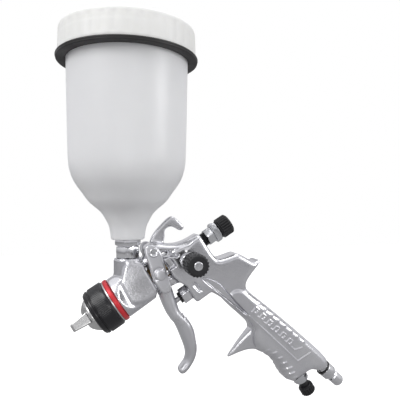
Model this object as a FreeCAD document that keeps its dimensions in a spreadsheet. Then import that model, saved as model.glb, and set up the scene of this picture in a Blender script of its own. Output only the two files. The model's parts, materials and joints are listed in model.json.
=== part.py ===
import FreeCAD, Part
import math
import os
from types import SimpleNamespace

import Sketcher

# HVLP gravity-feed spray gun, hanging on a rail by the hook above its body.
# World frame: origin at the middle of the hook's rail, +Z up, nozzle towards -X,
# handle towards +X, both knobs' side towards -Y. All sizes are in millimetres.
#
# The gun is drawn in a frame of its own and then tipped nose-down:
#   u  along the needle, towards the back
#   v  across the gun (the world's Y)
#   w  square to the needle, towards the cup
# The gun frame's origin is where the cup's axis crosses the needle's axis.

DRIVING = {
    # how the gun hangs
    "nose_tilt": 32.5, "rail_u": 50.7, "rail_w": 19.1, "rail_hole": 5.0,
    # casting
    "body_width": 21.0, "grip_width": 24.0, "grip_length": 88.0, "guard_width": 11.0,
    "lower_bridge_width": 15.0, "keel_width": 15.0, "groove_depth": 2.6, "hook_width": 6.0, "hook_thickness": 5.8,
    "head_radius": 13.2, "flange_radius": 16.5,
    "head_front": -9.0, "head_back": 19.9, "cheek_width": 25.0, "boss_radius": 10.7,
    "boss_top": 25.8, "body_back": 67.9,
    # clearances
    "fit": 0.05, "side_gap": 0.3,
    # spray head
    "red_ring_depth": 3.3, "ring_overhang": 1.5, "ring_depth": 15.7, "ring_wall": 3.0,
    "cap_depth": 7.0, "horn_reach": 10.0, "horn_width": 6.0, "horn_turn": 14.0, "nozzle_thread": 5.8,
    "nozzle_hole": 0.8, "tip_reach": 36.8,
    # needle and its trigger linkage
    "needle_radius": 1.25, "packing_radius": 3.9, "needle_bore": 4.6, "collar_front": 30.2,
    "collar_depth": 8.6, "driver_u": 26.4, "driver_w": -0.7, "driver_radius": 3.6,
    "pivot_u": 30.9, "pivot_w": 16.3, "pivot_radius": 2.4, "arm_inner": 12.8, "arm_wall": 2.3,
    "web_thickness": 3.2,
    # fluid control behind the needle
    "fluid_thread": 6.0, "fluid_collar": 5.0, "fluid_nut_radius": 8.4, "fluid_screw_radius": 3.0,
    "fluid_knob_radius": 8.2, "fluid_knob_start": 84.0, "fluid_knob_length": 10.5,
    # pattern control on the side
    "pattern_u": 50.4, "pattern_w": -5.2, "pattern_thread": 4.0, "pattern_collar": 6.8,
    "pattern_stem_radius": 2.5, "pattern_knob_radius": 8.3, "pattern_knob_start": 21.0,
    "pattern_knob_length": 17.0,
    # air valve under the needle
    "valve_w": -27.3, "valve_thread": 5.8, "valve_nut_radius": 7.0, "valve_stem_radius": 2.0,
    "valve_tip": 20.2, "valve_face": 38.3,
    # air inlet and air regulator under the grip
    "grip_lean": 73.5, "inlet_set": 71.93, "inlet_drop": 6.5, "inlet_thread": 5.0,
    "inlet_bore": 2.6, "plug_radius": 4.9, "plug_length": 22.5,
    "regulator_set": 51.33, "regulator_rise": 2.0, "regulator_thread": 4.9,
    "regulator_nut_radius": 6.4, "regulator_stem_radius": 2.5, "regulator_knob_radius": 6.2,
    "regulator_knob_length": 8.0,
    # cup, from the needle's axis up the cup's axis
    "cup_bottom": 39.3, "cup_radius": 45.0, "cup_rim": 189.0, "cup_wall": 1.8,
    "cup_neck": 12.5, "outlet_radius": 8.0, "fluid_bore": 4.5, "fitting_thread": 6.1,
    "fitting_hex": 9.8, "lid_grip": 17.8, "lid_ring_depth": 2.9, "lid_ring_overhang": 7.5,
    "lid_overhang": 6.0, "lid_height": 20.6, "lid_wall": 2.4,
}

doc = FreeCAD.newDocument("spray_gun")
sheet = doc.addObject("Spreadsheet::Sheet", "Sizes")


class Size:
    """A size known both as a number and as an expression of the sheet's cells."""

    def __init__(self, text, value):
        self.text = text
        self.value = value

    def joined(self, sign, other, value):
        """The size that an operation with another size gives."""
        return Size("(%s %s %s)" % (self.text, sign, sized(other).text), value)

    def __add__(self, other):
        return self.joined("+", other, self.value + sized(other).value)

    def __radd__(self, other):
        return sized(other) + self

    def __sub__(self, other):
        return self.joined("-", other, self.value - sized(other).value)

    def __rsub__(self, other):
        return sized(other) - self

    def __mul__(self, other):
        return self.joined("*", other, self.value * sized(other).value)

    def __rmul__(self, other):
        return sized(other) * self

    def __truediv__(self, other):
        return self.joined("/", other, self.value / sized(other).value)

    def __neg__(self):
        return sized(0) - self


def sized(thing):
    """Turn a bare number into a Size."""
    if isinstance(thing, Size):
        return thing
    return Size("(%.6g)" % thing, float(thing))


def cosine(angle):
    """Cosine of a Size in degrees."""
    angle = sized(angle)
    return Size("cos(%s * 1 deg)" % angle.text, math.cos(math.radians(angle.value)))


def sine(angle):
    """Sine of a Size in degrees."""
    angle = sized(angle)
    return Size("sin(%s * 1 deg)" % angle.text, math.sin(math.radians(angle.value)))


def fill_sheet():
    """Write the driving sizes into the sheet and return them by name."""
    named = {}
    for row, (alias, value) in enumerate(DRIVING.items(), start=1):
        sheet.set("A%d" % row, alias.replace("_", " "))
        sheet.set("B%d" % row, str(value))
        sheet.setAlias("B%d" % row, alias)
        named[alias] = Size("Sizes." + alias, float(value))
    doc.recompute()
    return SimpleNamespace(**named)


S = fill_sheet()
GUN_X = S.rail_w * sine(S.nose_tilt) - S.rail_u * cosine(S.nose_tilt)
GUN_Z = -(S.rail_u * sine(S.nose_tilt) + S.rail_w * cosine(S.nose_tilt))
CUP_LEAN = 90 - S.nose_tilt
RING_RADIUS = S.flange_radius + S.ring_overhang
GRIP_END = -52 - S.grip_length
INLET_U = S.inlet_set + S.grip_length * cosine(S.grip_lean) / sine(S.grip_lean)
INLET_W = GRIP_END - S.inlet_drop
REGULATOR_U = S.regulator_set + S.grip_length * cosine(S.grip_lean) / sine(S.grip_lean)
REGULATOR_W = GRIP_END + S.regulator_rise


def bind(thing, path, size):
    """Bind one property of an object to the sheet."""
    thing.setExpression(path, sized(size).text)


def world_spot(u, w):
    """World X and Z of a point of the gun frame."""
    x = GUN_X + u * cosine(S.nose_tilt) - w * sine(S.nose_tilt)
    z = GUN_Z + u * sine(S.nose_tilt) + w * cosine(S.nose_tilt)
    return x, z


def seat_in_plane(piece, u, w, lean):
    """Place a piece so that its own X axis leans by an angle from the needle's axis."""
    x, z = world_spot(sized(u), sized(w))
    angle = S.nose_tilt + lean
    turn = FreeCAD.Rotation(FreeCAD.Vector(0, -1, 0), angle.value)
    piece.Placement = FreeCAD.Placement(FreeCAD.Vector(x.value, 0, z.value), turn)
    bind(piece, ".Placement.Base.x", x)
    bind(piece, ".Placement.Base.z", z)
    bind(piece, ".Placement.Rotation.Angle", angle)


def roll_about_needle(piece, angle):
    """Turn a piece that stands on the gun frame's origin about the needle's axis."""
    pitch = -S.nose_tilt
    piece.setExpression("Placement", None)
    turn = FreeCAD.Rotation(0, pitch.value, angle.value)
    piece.Placement = FreeCAD.Placement(piece.Placement.Base, turn)
    x, z = world_spot(sized(0), sized(0))
    piece.setExpression("Placement", (
        "create(<<placement>>; create(<<vector>>; %s; 0; %s); create(<<rotation>>; 0; %s; %s))"
        % (x.text, z.text, pitch.text, angle.text)))


def seat_sideways(piece, u, w):
    """Place a piece so that its own X axis points out of the gun's -Y side."""
    x, z = world_spot(sized(u), sized(w))
    turn = FreeCAD.Rotation(FreeCAD.Vector(0, 0, 1), -90)
    piece.Placement = FreeCAD.Placement(FreeCAD.Vector(x.value, 0, z.value), turn)
    bind(piece, ".Placement.Base.x", x)
    bind(piece, ".Placement.Base.z", z)


def new_body(label):
    """Start a body whose label is its node's name."""
    body = doc.addObject("PartDesign::Body", label)
    body.Label = label
    return body


def origin_plane(body, role):
    """One of the body's own origin planes."""
    return [plane for plane in body.Origin.OriginFeatures if plane.Role == role][0]


def outline(body, name, role, loops):
    """A sketch of closed straight-sided loops, each corner held by two sizes."""
    sketch = body.newObject("Sketcher::SketchObject", name)
    sketch.AttachmentSupport = [(origin_plane(body, role), "")]
    sketch.MapMode = "FlatFace"
    for loop in loops:
        corners = [(sized(x), sized(y)) for x, y in loop]
        first = sketch.GeometryCount
        spots = [FreeCAD.Vector(x.value, y.value, 0) for x, y in corners]
        sides = [Part.LineSegment(spots[i], spots[(i + 1) % len(spots)]) for i in range(len(spots))]
        sketch.addGeometry(sides, False)
        for i, (x, y) in enumerate(corners):
            before = first + (i - 1) % len(corners)
            sketch.addConstraint(Sketcher.Constraint("Coincident", before, 2, first + i, 1))
            for kind, size in (("DistanceX", x), ("DistanceY", y)):
                rule = sketch.addConstraint(
                    Sketcher.Constraint(kind, -1, 1, first + i, 1, size.value))
                bind(sketch, "Constraints[%d]" % rule, size)
    return sketch


def feature(body, kind, name):
    """Add a PartDesign feature to a body."""
    return body.newObject("PartDesign::" + kind, name)


def pad(body, name, corners, width, role="XZ_Plane"):
    """Pad a loop to both sides of an origin plane."""
    made = feature(body, "Pad", name)
    made.Profile = outline(body, name + "_outline", role, [corners])
    made.Midplane = True
    bind(made, "Length", width)
    return made


def pocket(body, name, loops, width, role="XZ_Plane"):
    """Cut loops to both sides of an origin plane."""
    made = feature(body, "Pocket", name)
    made.Profile = outline(body, name + "_outline", role, loops)
    made.Midplane = True
    bind(made, "Length", width)
    return made


def side_pocket(body, name, corners, depth):
    """Cut the same pocket into both side faces, from outside the widest pad inwards."""
    reach = 20
    inner = S.body_width - 2 * depth
    for side in (-1, 1):
        made = feature(body, "Pocket", "%s_%s" % (name, "near" if side < 0 else "far"))
        sketch = outline(body, made.Name + "_outline", "XZ_Plane", [corners])
        offset = (inner / 2 + reach / 2) * side
        sketch.AttachmentOffset = FreeCAD.Placement(
            FreeCAD.Vector(0, 0, offset.value), FreeCAD.Rotation())
        bind(sketch, ".AttachmentOffset.Base.z", offset)
        made.Profile = sketch
        made.Midplane = True
        made.Length = reach


def revolve(body, name, corners, kind="Revolution"):
    """Turn a loop about the body's X axis, as a solid or as a groove."""
    sketch = outline(body, name + "_outline", "XZ_Plane", [corners])
    made = feature(body, kind, name)
    made.Profile = sketch
    made.ReferenceAxis = (sketch, ["H_Axis"])
    made.Angle = 360
    return made


def rod(body, name, kind, radius, length, spot, direction):
    """A round feature from a spot along a direction, added or cut away."""
    made = feature(body, kind, name)
    bind(made, "Radius", radius)
    bind(made, "Height", length)
    aim(made, spot, direction)
    return made


def hexagon(body, name, corner_radius, start, length):
    """A hexagon standing on the body's X axis."""
    made = feature(body, "AdditivePrism", name)
    made.Polygon = 6
    bind(made, "Circumradius", corner_radius)
    bind(made, "Height", length)
    aim(made, (start, 0, 0), FreeCAD.Vector(1, 0, 0))
    return made


def aim(made, spot, direction):
    """Stand a primitive's own axis at a spot, along a direction."""
    spot = [sized(value) for value in spot]
    turn = FreeCAD.Rotation(FreeCAD.Vector(0, 0, 1), direction)
    base = FreeCAD.Vector(*[value.value for value in spot])
    made.Placement = FreeCAD.Placement(base, turn)
    for letter, value in zip("xyz", spot):
        bind(made, ".Placement.Base." + letter, value)


def turned(label, corners, u=0, w=0, lean=0):
    """A piece turned about an axis that lies in the gun's middle plane."""
    body = new_body(label)
    revolve(body, label + "_turning", corners)
    seat_in_plane(body, u, w, lean)
    return body


def tube(start, end, outer, inner=0):
    """The corners of a plain round piece, hollow where an inner radius is given."""
    return [(start, inner), (end, inner), (end, outer), (start, outer)]


# ---------------------------------------------------------------- casting

def hook(body):
    """The hanging hook: a flat ring, open towards the back."""
    outer = S.rail_hole + S.hook_thickness
    width = S.hook_width
    across = FreeCAD.Vector(0, 1, 0)
    rod(body, "hook_ring", "AdditiveCylinder", outer, width, (S.rail_u, -width / 2, S.rail_w), across)
    pad(body, "hook_root", [
        (S.rail_u - 17.5, S.rail_w - 3), (S.rail_u - 16.5, S.rail_w + 3.7),
        (S.rail_u - 9.2, S.rail_w + 8), (S.rail_u - 1.8, S.rail_w + outer - 0.2),
        (S.rail_u, S.rail_w), (S.rail_u - 4, S.rail_w - 12), (S.rail_u - 15, S.rail_w - 7),
    ], width)
    pad(body, "hook_beak", [
        (S.rail_u - 8, S.rail_w + 7), (S.rail_u - 2.2, S.rail_w + 9.8), (S.rail_u + 3.6, S.rail_w + 11),
        (S.rail_u + 8.2, S.rail_w + 10.5), (S.rail_u + 10.2, S.rail_w + 4.5),
        (S.rail_u + 11.2, S.rail_w - 1.4), (S.rail_u + 9, S.rail_w - 4), (S.rail_u, S.rail_w),
    ], width)
    rod(body, "hook_hole", "SubtractiveCylinder", S.rail_hole, width + 2,
        (S.rail_u, -width / 2 - 1, S.rail_w), across)
    pocket(body, "hook_mouth", [[
        (S.rail_u - 3.5, S.rail_w - 3.5), (S.rail_u + 2, S.rail_w - 2.4),
        (S.rail_u + outer + 2, S.rail_w - 2.2), (S.rail_u + outer, S.rail_w - 16),
        (S.rail_u - 3.5, S.rail_w - 14),
    ]], width + 2)


def casting():
    """The cast gun body: head, cup boss, bridge, rear block, hand rest, grip and guard."""
    body = new_body("gun_body")
    hook(body)
    front = S.head_front
    back = S.head_back
    pad(body, "bridge", [
        (8, 10), (back, 10), (S.pivot_u + 2.6, 9), (S.body_back, 2), (S.body_back, 7),
        (58.6, 7.3), (47, 10.7), (41, 15), (35, 21.4), (26.8, 21.8), (23.4, 15.6),
        (back - 0.6, 15.6), (14, 13.4),
    ], S.body_width)
    revolve(body, "head", [
        (front, 0), (back, 0), (back, S.head_radius - 2), (back - 4, S.head_radius - 1),
        (back - 5, S.head_radius), (front + 9, S.head_radius), (front + 4, S.flange_radius),
        (front, S.flange_radius),
    ])
    pad(body, "cheeks", [
        (front + 6.4, -4), (front + 5, 1.7), (front + 6, 7), (front + 10.2, 12.6), (front + 15.6, 18.2),
        (front + 19.2, 19.4), (back + 0.6, 15.4), (back - 1, 8), (back - 1, -12.4),
        (front + 20, -11.6), (front + 14, -10.2), (front + 9.4, -8),
    ], S.cheek_width)
    keel = S.flange_radius - 0.4
    pad(body, "keel", [
        (front + 1, -keel), (front + 1, keel), (front + 8, keel), (back - 2, keel - 2), (back - 2, -9),
        (back - 1.2, -12.6), (back - 3.4, -keel),
    ], S.keel_width)
    rod(body, "cup_boss", "AdditiveCylinder", S.boss_radius, S.boss_top, (0, 0, 0),
        FreeCAD.Vector(math.cos(math.radians(CUP_LEAN.value)), 0,
                       math.sin(math.radians(CUP_LEAN.value))))
    face = S.valve_face
    pad(body, "rear_block", [
        (S.pivot_u + 2.6, 9), (S.pivot_u + 2.6, -9), (face - 2.8, -15), (face, -19.8),
        (face, S.valve_w - 8.2), (face + 13.6, S.valve_w - 8.2), (56, -42.2), (58.6, -53),
        (78.4, -54), (77, -51.4), (76.9, -48.1), (79.5, -45.1), (84.9, -42.7), (96.2, -39.1),
        (98.9, -37.8), (98.3, -36.5), (93.4, -35.9), (87.9, -26), (84.9, -21.8), (76.7, -19.7),
        (70.4, -17.6), (69, -13), (S.body_back, -7),
        (S.body_back, 5),
    ], S.body_width)
    pad(body, "lower_bridge", [
        (back - 3, -6.4), (S.pivot_u + 3, -6.4), (face, -12), (face, -17.5), (face - 3, -15.6),
        (back + 8, -14.6), (back - 3, -12.6),
    ], S.lower_bridge_width)
    pad(body, "grip", [
        (58.2, -50), (77, -50), (78.4, -56), (82.2, -67.5), (89.7, -89.6), (96.7, -112.2),
        (INLET_U + 5, GRIP_END + 6.9), (INLET_U + 6.2, GRIP_END + 0.5), (INLET_U + 5, INLET_W + 1.4),
        (INLET_U - 5.6, INLET_W - 0.6), (INLET_U - 9, GRIP_END - 1.5),
        (REGULATOR_U + 7.9, REGULATOR_W), (REGULATOR_U - 7.4, REGULATOR_W),
        (REGULATOR_U - 10.7, REGULATOR_W + 3.5), (REGULATOR_U - 12.4, REGULATOR_W + 7.4),
        (REGULATOR_U - 11.3, GRIP_END + 17.7), (REGULATOR_U - 13.2, GRIP_END + 30.9),
        (58.1, -97.9), (62, -88),
        (65, -78.6), (64.6, -74.5), (61.7, -63.6),
    ], S.grip_width)
    pad(body, "guard", [
        (68, -78), (64, -80.6), (50.1, -84.2), (50.3, -92.9), (56, -95), (60.6, -99.4), (68, -100),
    ], S.guard_width)
    pad(body, "guard_tip", [
        (52, -83.9), (36.2, -88.1), (35.6, -89.2), (36.5, -90.1), (44.8, -91.2), (52, -93),
    ], S.guard_width / 2)
    drill_casting(body)
    seat_in_plane(body, 0, 0, 0)
    return body


def drill_casting(body):
    """The passages and threads cut into the casting."""
    front = S.head_front
    back = S.head_back
    along = FreeCAD.Vector(1, 0, 0)
    revolve(body, "head_bores", [
        (front - 1, 0), (back + 1, 0), (back + 1, S.packing_radius + S.fit),
        (back - 8, S.packing_radius + S.fit), (back - 8, S.needle_radius + 1.9),
        (front + 6.2, S.needle_radius + 1.9), (front + 6.2, S.nozzle_thread + S.fit),
        (front + 4.5, S.nozzle_thread + S.fit), (front + 4.5, S.flange_radius - 4.5),
        (front - 1, S.flange_radius - 4.5),
    ], kind="Groove")
    rod(body, "cup_passage", "SubtractiveCylinder", S.fluid_bore, S.boss_top + 1, (0, 0, 0),
        FreeCAD.Vector(math.cos(math.radians(CUP_LEAN.value)), 0,
                       math.sin(math.radians(CUP_LEAN.value))))
    thread = 12
    start = S.boss_top - thread
    rod(body, "cup_thread", "SubtractiveCylinder", S.fitting_thread + S.fit, sized(thread) + 1,
        (start * cosine(CUP_LEAN), 0, start * sine(CUP_LEAN)),
        FreeCAD.Vector(math.cos(math.radians(CUP_LEAN.value)), 0,
                       math.sin(math.radians(CUP_LEAN.value))))
    rod(body, "needle_bore_cut", "SubtractiveCylinder", S.needle_bore,
        S.body_back - S.pivot_u - 0.6, (S.pivot_u + 1.6, 0, 0), along)
    side_pocket(body, "needle_window", [
        (S.pivot_u + 3.6, 3.7), (S.pivot_u + 8.6, 3.7), (S.pivot_u + 8.6, -2.6),
        (S.pivot_u + 3.6, -2.6),
    ], S.body_width / 2 - S.needle_bore + 1)
    side_pocket(body, "bridge_recess", [
        (S.pivot_u + 3.6, 12.2), (S.pivot_u + 6, 12.2), (S.pivot_u + 16.6, 4.6),
        (S.pivot_u + 13.2, 2), (S.pivot_u + 9.6, 5.6), (S.pivot_u + 3.6, 7.6),
    ], 4.5)
    side_pocket(body, "grip_groove", [
        (54.6, -28), (57.6, -27.6), (61.2, -34), (63, -43), (67.2, -66), (65.6, -66.4), (62.4, -57),
        (59.6, -46.6), (57.4, -40),
    ], S.groove_depth)
    rod(body, "fluid_thread_cut", "SubtractiveCylinder", S.fluid_thread + S.fit, 9,
        (S.body_back - 8, 0, 0), along)
    rod(body, "valve_bore", "SubtractiveCylinder", S.valve_thread + S.fit, 30,
        (S.valve_face - 1, 0, S.valve_w), along)
    rod(body, "pattern_bore", "SubtractiveCylinder", S.pattern_thread + S.fit, 10,
        (S.pattern_u, -S.body_width / 2 - 4.6, S.pattern_w), FreeCAD.Vector(0, 1, 0))
    rod(body, "pivot_bore", "SubtractiveCylinder", S.pivot_radius + 0.8 + S.fit,
        S.body_width + 4, (S.pivot_u, -S.body_width / 2 - 2, S.pivot_w), FreeCAD.Vector(0, 1, 0))
    lean = S.grip_lean.value
    inlet = FreeCAD.Vector(-math.cos(math.radians(lean)), 0, math.sin(math.radians(lean)))
    rod(body, "air_passage", "SubtractiveCylinder", S.inlet_bore + 0.8, 118,
        (INLET_U, 0, INLET_W), inlet)
    rod(body, "inlet_thread_cut", "SubtractiveCylinder", S.inlet_thread + S.fit, 16,
        (INLET_U + 6 * cosine(S.grip_lean), 0, INLET_W - 6 * sine(S.grip_lean)), inlet)
    rod(body, "regulator_bore", "SubtractiveCylinder", S.regulator_thread + S.fit, 16,
        (REGULATOR_U, 0, REGULATOR_W - 1), FreeCAD.Vector(0, 0, 1))


# ---------------------------------------------------------------- spray head

def spray_head():
    """Red ring, air distributor, fluid nozzle, retaining ring, its snap ring and the air cap."""
    face = S.head_front - 0.02
    shim = face - S.red_ring_depth
    turned("red_ring", tube(shim, face, S.flange_radius + 0.7, S.flange_radius - 3.8))
    ring_back = shim - 1.1
    ring_front = ring_back - S.ring_depth
    thread = RING_RADIUS - S.ring_wall - S.fit
    hub = S.flange_radius - 4.5 - S.fit
    turned("air_distributor", [
        (face + 4.2, S.nozzle_thread + S.fit), (shim - 2, S.nozzle_thread + S.fit), (shim - 2, hub - 2.4),
        (shim - 8, hub), (shim - 8, thread), (ring_back + 0.3, thread),
        (ring_back + 0.3, S.flange_radius + 0.3), (shim - 0.02, S.flange_radius + 0.3),
        (shim - 0.02, hub), (face + 4.2, hub),
    ])
    turned("fluid_nozzle", [
        (face + 6, S.nozzle_thread), (shim - 2.1, S.nozzle_thread), (shim - 2.1, 7.6), (shim - 7, 7.6),
        (shim - 9.5, 5.6), (-30, 4.2), (-33.2, 2.3), (-S.tip_reach, 2.1), (-S.tip_reach, S.nozzle_hole),
        (1.2 - S.tip_reach, S.nozzle_hole), (-31, 3.1), (face + 6, 3.1),
    ])
    inside = RING_RADIUS - S.ring_wall
    turned("retaining_ring", [
        (ring_back, inside), (ring_front + 1.8, inside), (ring_front + 1.8, inside - 1.9),
        (ring_front, inside - 1.9), (ring_front, RING_RADIUS - 1.8),
        (ring_front + 2.2, RING_RADIUS - 0.3), (ring_front + 4.2, RING_RADIUS - 0.3),
        (ring_front + 4.2, RING_RADIUS), (ring_back - 1, RING_RADIUS),
        (ring_back, RING_RADIUS - 1),
    ])
    cap_back = ring_front + 1.9
    turned("snap_ring", tube(cap_back + 3.2, cap_back + 4.3, inside - 0.3, inside - 1.6))
    air_cap(cap_back, inside)


def air_cap(cap_back, inside):
    """The domed air cap with a horn on each side."""
    body = new_body("air_cap")
    rim = inside - 1.9 - S.fit - 0.1
    face = cap_back - 1.9 - S.cap_depth
    revolve(body, "cap_dome", [
        (cap_back + 3.1, inside - 0.3), (cap_back, inside - 0.3), (cap_back, rim),
        (cap_back - 3.6, rim), (face + 3.2, rim - 2), (face + 0.8, rim - 5), (face, rim - 6.2),
        (face, 2.7), (face + 1.6, 2.7), (face + 3.4, 6.4), (cap_back - 1, rim - 2.2),
        (cap_back + 3.1, rim - 1.6),
    ])
    tip = face - S.horn_reach
    for side in (-1, 1):
        made = feature(body, "Pad", "horn_pad_%s" % ("near" if side < 0 else "far"))
        made.Profile = outline(body, made.Name + "_outline", "XY_Plane", [[
            (face + 2.5, 6.2 * side), (face, 6.6 * side), (tip, (rim - 3.6) * side),
            (tip, (rim - 0.8) * side), (tip + 1.2, rim * side), (face + 6, rim * side),
        ]])
        made.Midplane = True
        bind(made, "Length", S.horn_width)
    seat_in_plane(body, 0, 0, 0)
    roll_about_needle(body, -S.horn_turn)


# ---------------------------------------------------------------- needle and trigger

def needle_group():
    """Needle, its collar, spring, packing and packing nut."""
    back = S.head_back
    turned("fluid_needle", [
        (0.5 - S.tip_reach, 0), (0.5 - S.tip_reach, 0.25), (3.4 - S.tip_reach, S.needle_radius),
        (S.body_back - 7.5, S.needle_radius), (S.body_back - 7.5, 0),
    ])
    front = S.collar_front
    end = front + S.collar_depth
    inner = S.needle_radius + 0.02
    outer = S.needle_bore - 0.9
    turned("needle_collar", tube(front, end, outer, inner))
    turned("needle_packing", tube(back - 7.9, back - 4.6, S.packing_radius, inner + S.fit))
    nut = turned("packing_nut", tube(back - 4.5, back + 0.5, S.packing_radius, inner + 0.2))
    hexagon(nut, "packing_hex", S.packing_radius + 1.4, back + 0.1, 2.1)
    rod(nut, "packing_nut_bore", "SubtractiveCylinder", inner + 0.2, 10, (back - 5, 0, 0),
        FreeCAD.Vector(1, 0, 0))
    coil("needle_spring", end + 0.05, S.body_back - 10.9 - end, S.needle_bore - 1.2, 0.42, 8, 0)


def coil(label, start, length, radius, wire, turns, w):
    """A helical compression spring on an axis along the needle."""
    spring = doc.addObject("Part::Feature", label)
    spring.Label = label
    pitch = (length.value - 2 * wire) / turns
    helix = Part.makeHelix(pitch, pitch * turns, radius.value - wire)
    section = Part.Wire([Part.makeCircle(
        wire, FreeCAD.Vector(radius.value - wire, 0, 0), FreeCAD.Vector(0, 1, 0))])
    spring.Shape = Part.Wire(helix.Edges).makePipeShell([section], True, True)
    seat_in_plane(spring, start + wire, w, -90)


def trigger_group():
    """The trigger, its pivot screw, sleeve and nut, and the bar that draws the needle."""
    body = new_body("trigger")
    inner = S.arm_inner
    outer = inner + S.arm_wall
    top = S.pivot_w + 6.9
    pad(body, "trigger_side", [
        (S.pivot_u - 6.9, top - 7.4), (S.pivot_u - 6, top - 3.6), (S.pivot_u - 3.6, top - 0.6),
        (S.pivot_u - 0.8, top), (S.pivot_u + 1.8, top - 0.8), (S.pivot_u + 4.5, top - 4.8),
        (S.pivot_u + 4.9, 13.2), (33.8, 7.3), (31.6, -1.1), (30.2, -6.6),
        (28.5, -15.1), (26.1, -24.5), (23.9, -32.9), (24.6, -37.3), (25.7, -42.8), (25.8, -49.6),
        (23.6, -57.4), (20.6, -65.7), (18, -70.3), (14, -74), (8.2, -77.2), (3, -78.3),
        (-1.2, -76.6), (-1.6, -73.4), (0.6, -72), (3.9, -71), (7.3, -69.8), (10, -67.1),
        (12.1, -63), (13.6, -55.6), (15.2, -47.4), (16.1, -40.1), (15.2, -34.2), (15.6, -30.4),
        (17.3, -20), (19.7, -12), (19.9, -3.2), (20.4, 2.7), (23.2, 9.6),
    ], outer * 2)
    sides = []
    for side in (-1, 1):
        sides.append([
            ((outer + 1) * side, -6), (outer * side, -6), ((inner - 1.3) * side, -19),
            ((inner - 1.5) * side, -36), (9 * side, -45), (8 * side, -62), (6.4 * side, -73),
            (3 * side, -80), ((outer + 1) * side, -80),
        ])
    pocket(body, "trigger_taper", sides, 120, role="YZ_Plane")
    pocket(body, "arm_space", [[
        (0, top + 1), (60, top + 1), (60, -6), (0, -16.5),
    ]], inner * 2)
    web = S.web_thickness
    pocket(body, "nut_space", [[
        (0, -5), (45, -5), (45, -36), (15.4 + web, -36), (S.valve_tip - 0.3, -30.4),
        (S.valve_tip - 0.3, -20), (S.valve_tip - 1, -16.4), (0, -16.4),
    ]], (inner - 4) * 2)
    pocket(body, "finger_space", [[
        (15.4 + web, -35), (45, -35), (45, -66), (16.6 + web, -63), (13.6 + web, -55.6),
        (15.2 + web, -47.4), (16.1 + web, -40.1),
    ]], 11)
    across = FreeCAD.Vector(0, 1, 0)
    rod(body, "pivot_hole", "SubtractiveCylinder", S.pivot_radius + 0.8 + S.fit, 40,
        (S.pivot_u, -20, S.pivot_w), across)
    rod(body, "driver_hole", "SubtractiveCylinder", S.driver_radius - 1.3 + S.fit, 40,
        (S.driver_u, -20, S.driver_w), across)
    seat_in_plane(body, 0, 0, 0)

    head = outer + 0.2
    screw = new_body("pivot_screw")
    revolve(screw, "pivot_screw_turning", [
        (-head, 0), (head + 2, 0), (head + 2, 2.6), (head + 1.4, 3.6), (head, 3.6),
        (head, S.pivot_radius), (-head, S.pivot_radius),
    ])
    seat_sideways(screw, S.pivot_u, S.pivot_w)
    nut = new_body("pivot_nut")
    revolve(nut, "pivot_nut_turning", [
        (-head - 1.9, 0), (-head - 0.05, 0), (-head - 0.05, 3.6), (-head - 1.3, 3.6),
        (-head - 1.9, 2.8),
    ])
    seat_sideways(nut, S.pivot_u, S.pivot_w)
    sleeve = new_body("pivot_sleeve")
    revolve(sleeve, "pivot_sleeve_turning", tube(
        -outer, outer, S.pivot_radius + 0.8, S.pivot_radius + S.fit))
    seat_sideways(sleeve, S.pivot_u, S.pivot_w)

    bar = new_body("driver_bar")
    spigot = S.driver_radius - 1.3
    revolve(bar, "driver_bar_turning", [
        (-outer, 0), (outer, 0), (outer, spigot), (inner - 0.1, spigot),
        (inner - 0.1, S.driver_radius), (0.1 - inner, S.driver_radius), (0.1 - inner, spigot),
        (-outer, spigot),
    ])
    tilt = math.radians(S.nose_tilt.value)
    eye_rise = 0.3 - S.driver_w
    rod(bar, "needle_eye", "SubtractiveCylinder", S.needle_radius + 1.15, 20,
        (0, -10 * cosine(S.nose_tilt) - eye_rise * sine(S.nose_tilt),
         eye_rise * cosine(S.nose_tilt) - 10 * sine(S.nose_tilt)),
        FreeCAD.Vector(0, math.cos(tilt), math.sin(tilt)))
    seat_sideways(bar, S.driver_u, S.driver_w)
    caps = new_body("driver_bar_caps")
    for side in (-1, 1):
        rod(caps, "bar_cap_%s" % ("near" if side < 0 else "far"), "AdditiveCylinder", 3.9, 1.4,
            (side * (outer + 0.75) - 0.7, 0, 0), FreeCAD.Vector(1, 0, 0))
    seat_sideways(caps, S.driver_u, S.driver_w)


# ---------------------------------------------------------------- controls

def fluid_control():
    """The needle's travel stop: threaded housing, lock nut, screw and knob."""
    back = S.body_back
    bore = S.fluid_screw_radius + S.fit
    turned("fluid_housing", [
        (back - 6.5, bore + 0.1), (back + 14, bore + 0.1), (back + 14, 4.2), (back + 4.2, 4.2),
        (back + 4.2, S.fluid_collar), (back + 0.05, S.fluid_collar), (back - 0.05, S.fluid_thread),
        (back - 6.5, S.fluid_thread),
    ])
    nut = new_body("fluid_lock_nut")
    hexagon(nut, "lock_hex", S.fluid_nut_radius - 1.3, back + 4.3, 6)
    revolve(nut, "lock_skirt", [
        (back + 10, 0), (back + 15.2, 0), (back + 15.2, S.fluid_nut_radius - 0.8),
        (back + 14.4, S.fluid_nut_radius), (back + 10.9, S.fluid_nut_radius),
        (back + 10, S.fluid_nut_radius - 0.9),
    ])
    revolve(nut, "lock_bore", tube(back + 3, back + 17, 4.2 + S.fit), kind="Groove")
    seat_in_plane(nut, 0, 0, 0)
    start = S.fluid_knob_start
    turned("fluid_screw", tube(back - 2.6, start + 7, S.fluid_screw_radius))
    end = start + S.fluid_knob_length
    turned("fluid_knob", knob_corners(start, end, S.fluid_knob_radius, bore, start + 7.1))


def knob_corners(start, end, radius, bore, bore_end):
    """The corners of a round knob with a blind bore and a short waist where it starts."""
    return [
        (start, bore), (bore_end, bore), (bore_end, 0), (end, 0), (end, radius - 1.2),
        (end - 1, radius), (start + 1.6, radius), (start + 1.2, radius - 0.8), (start, radius - 0.8),
    ]


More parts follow.
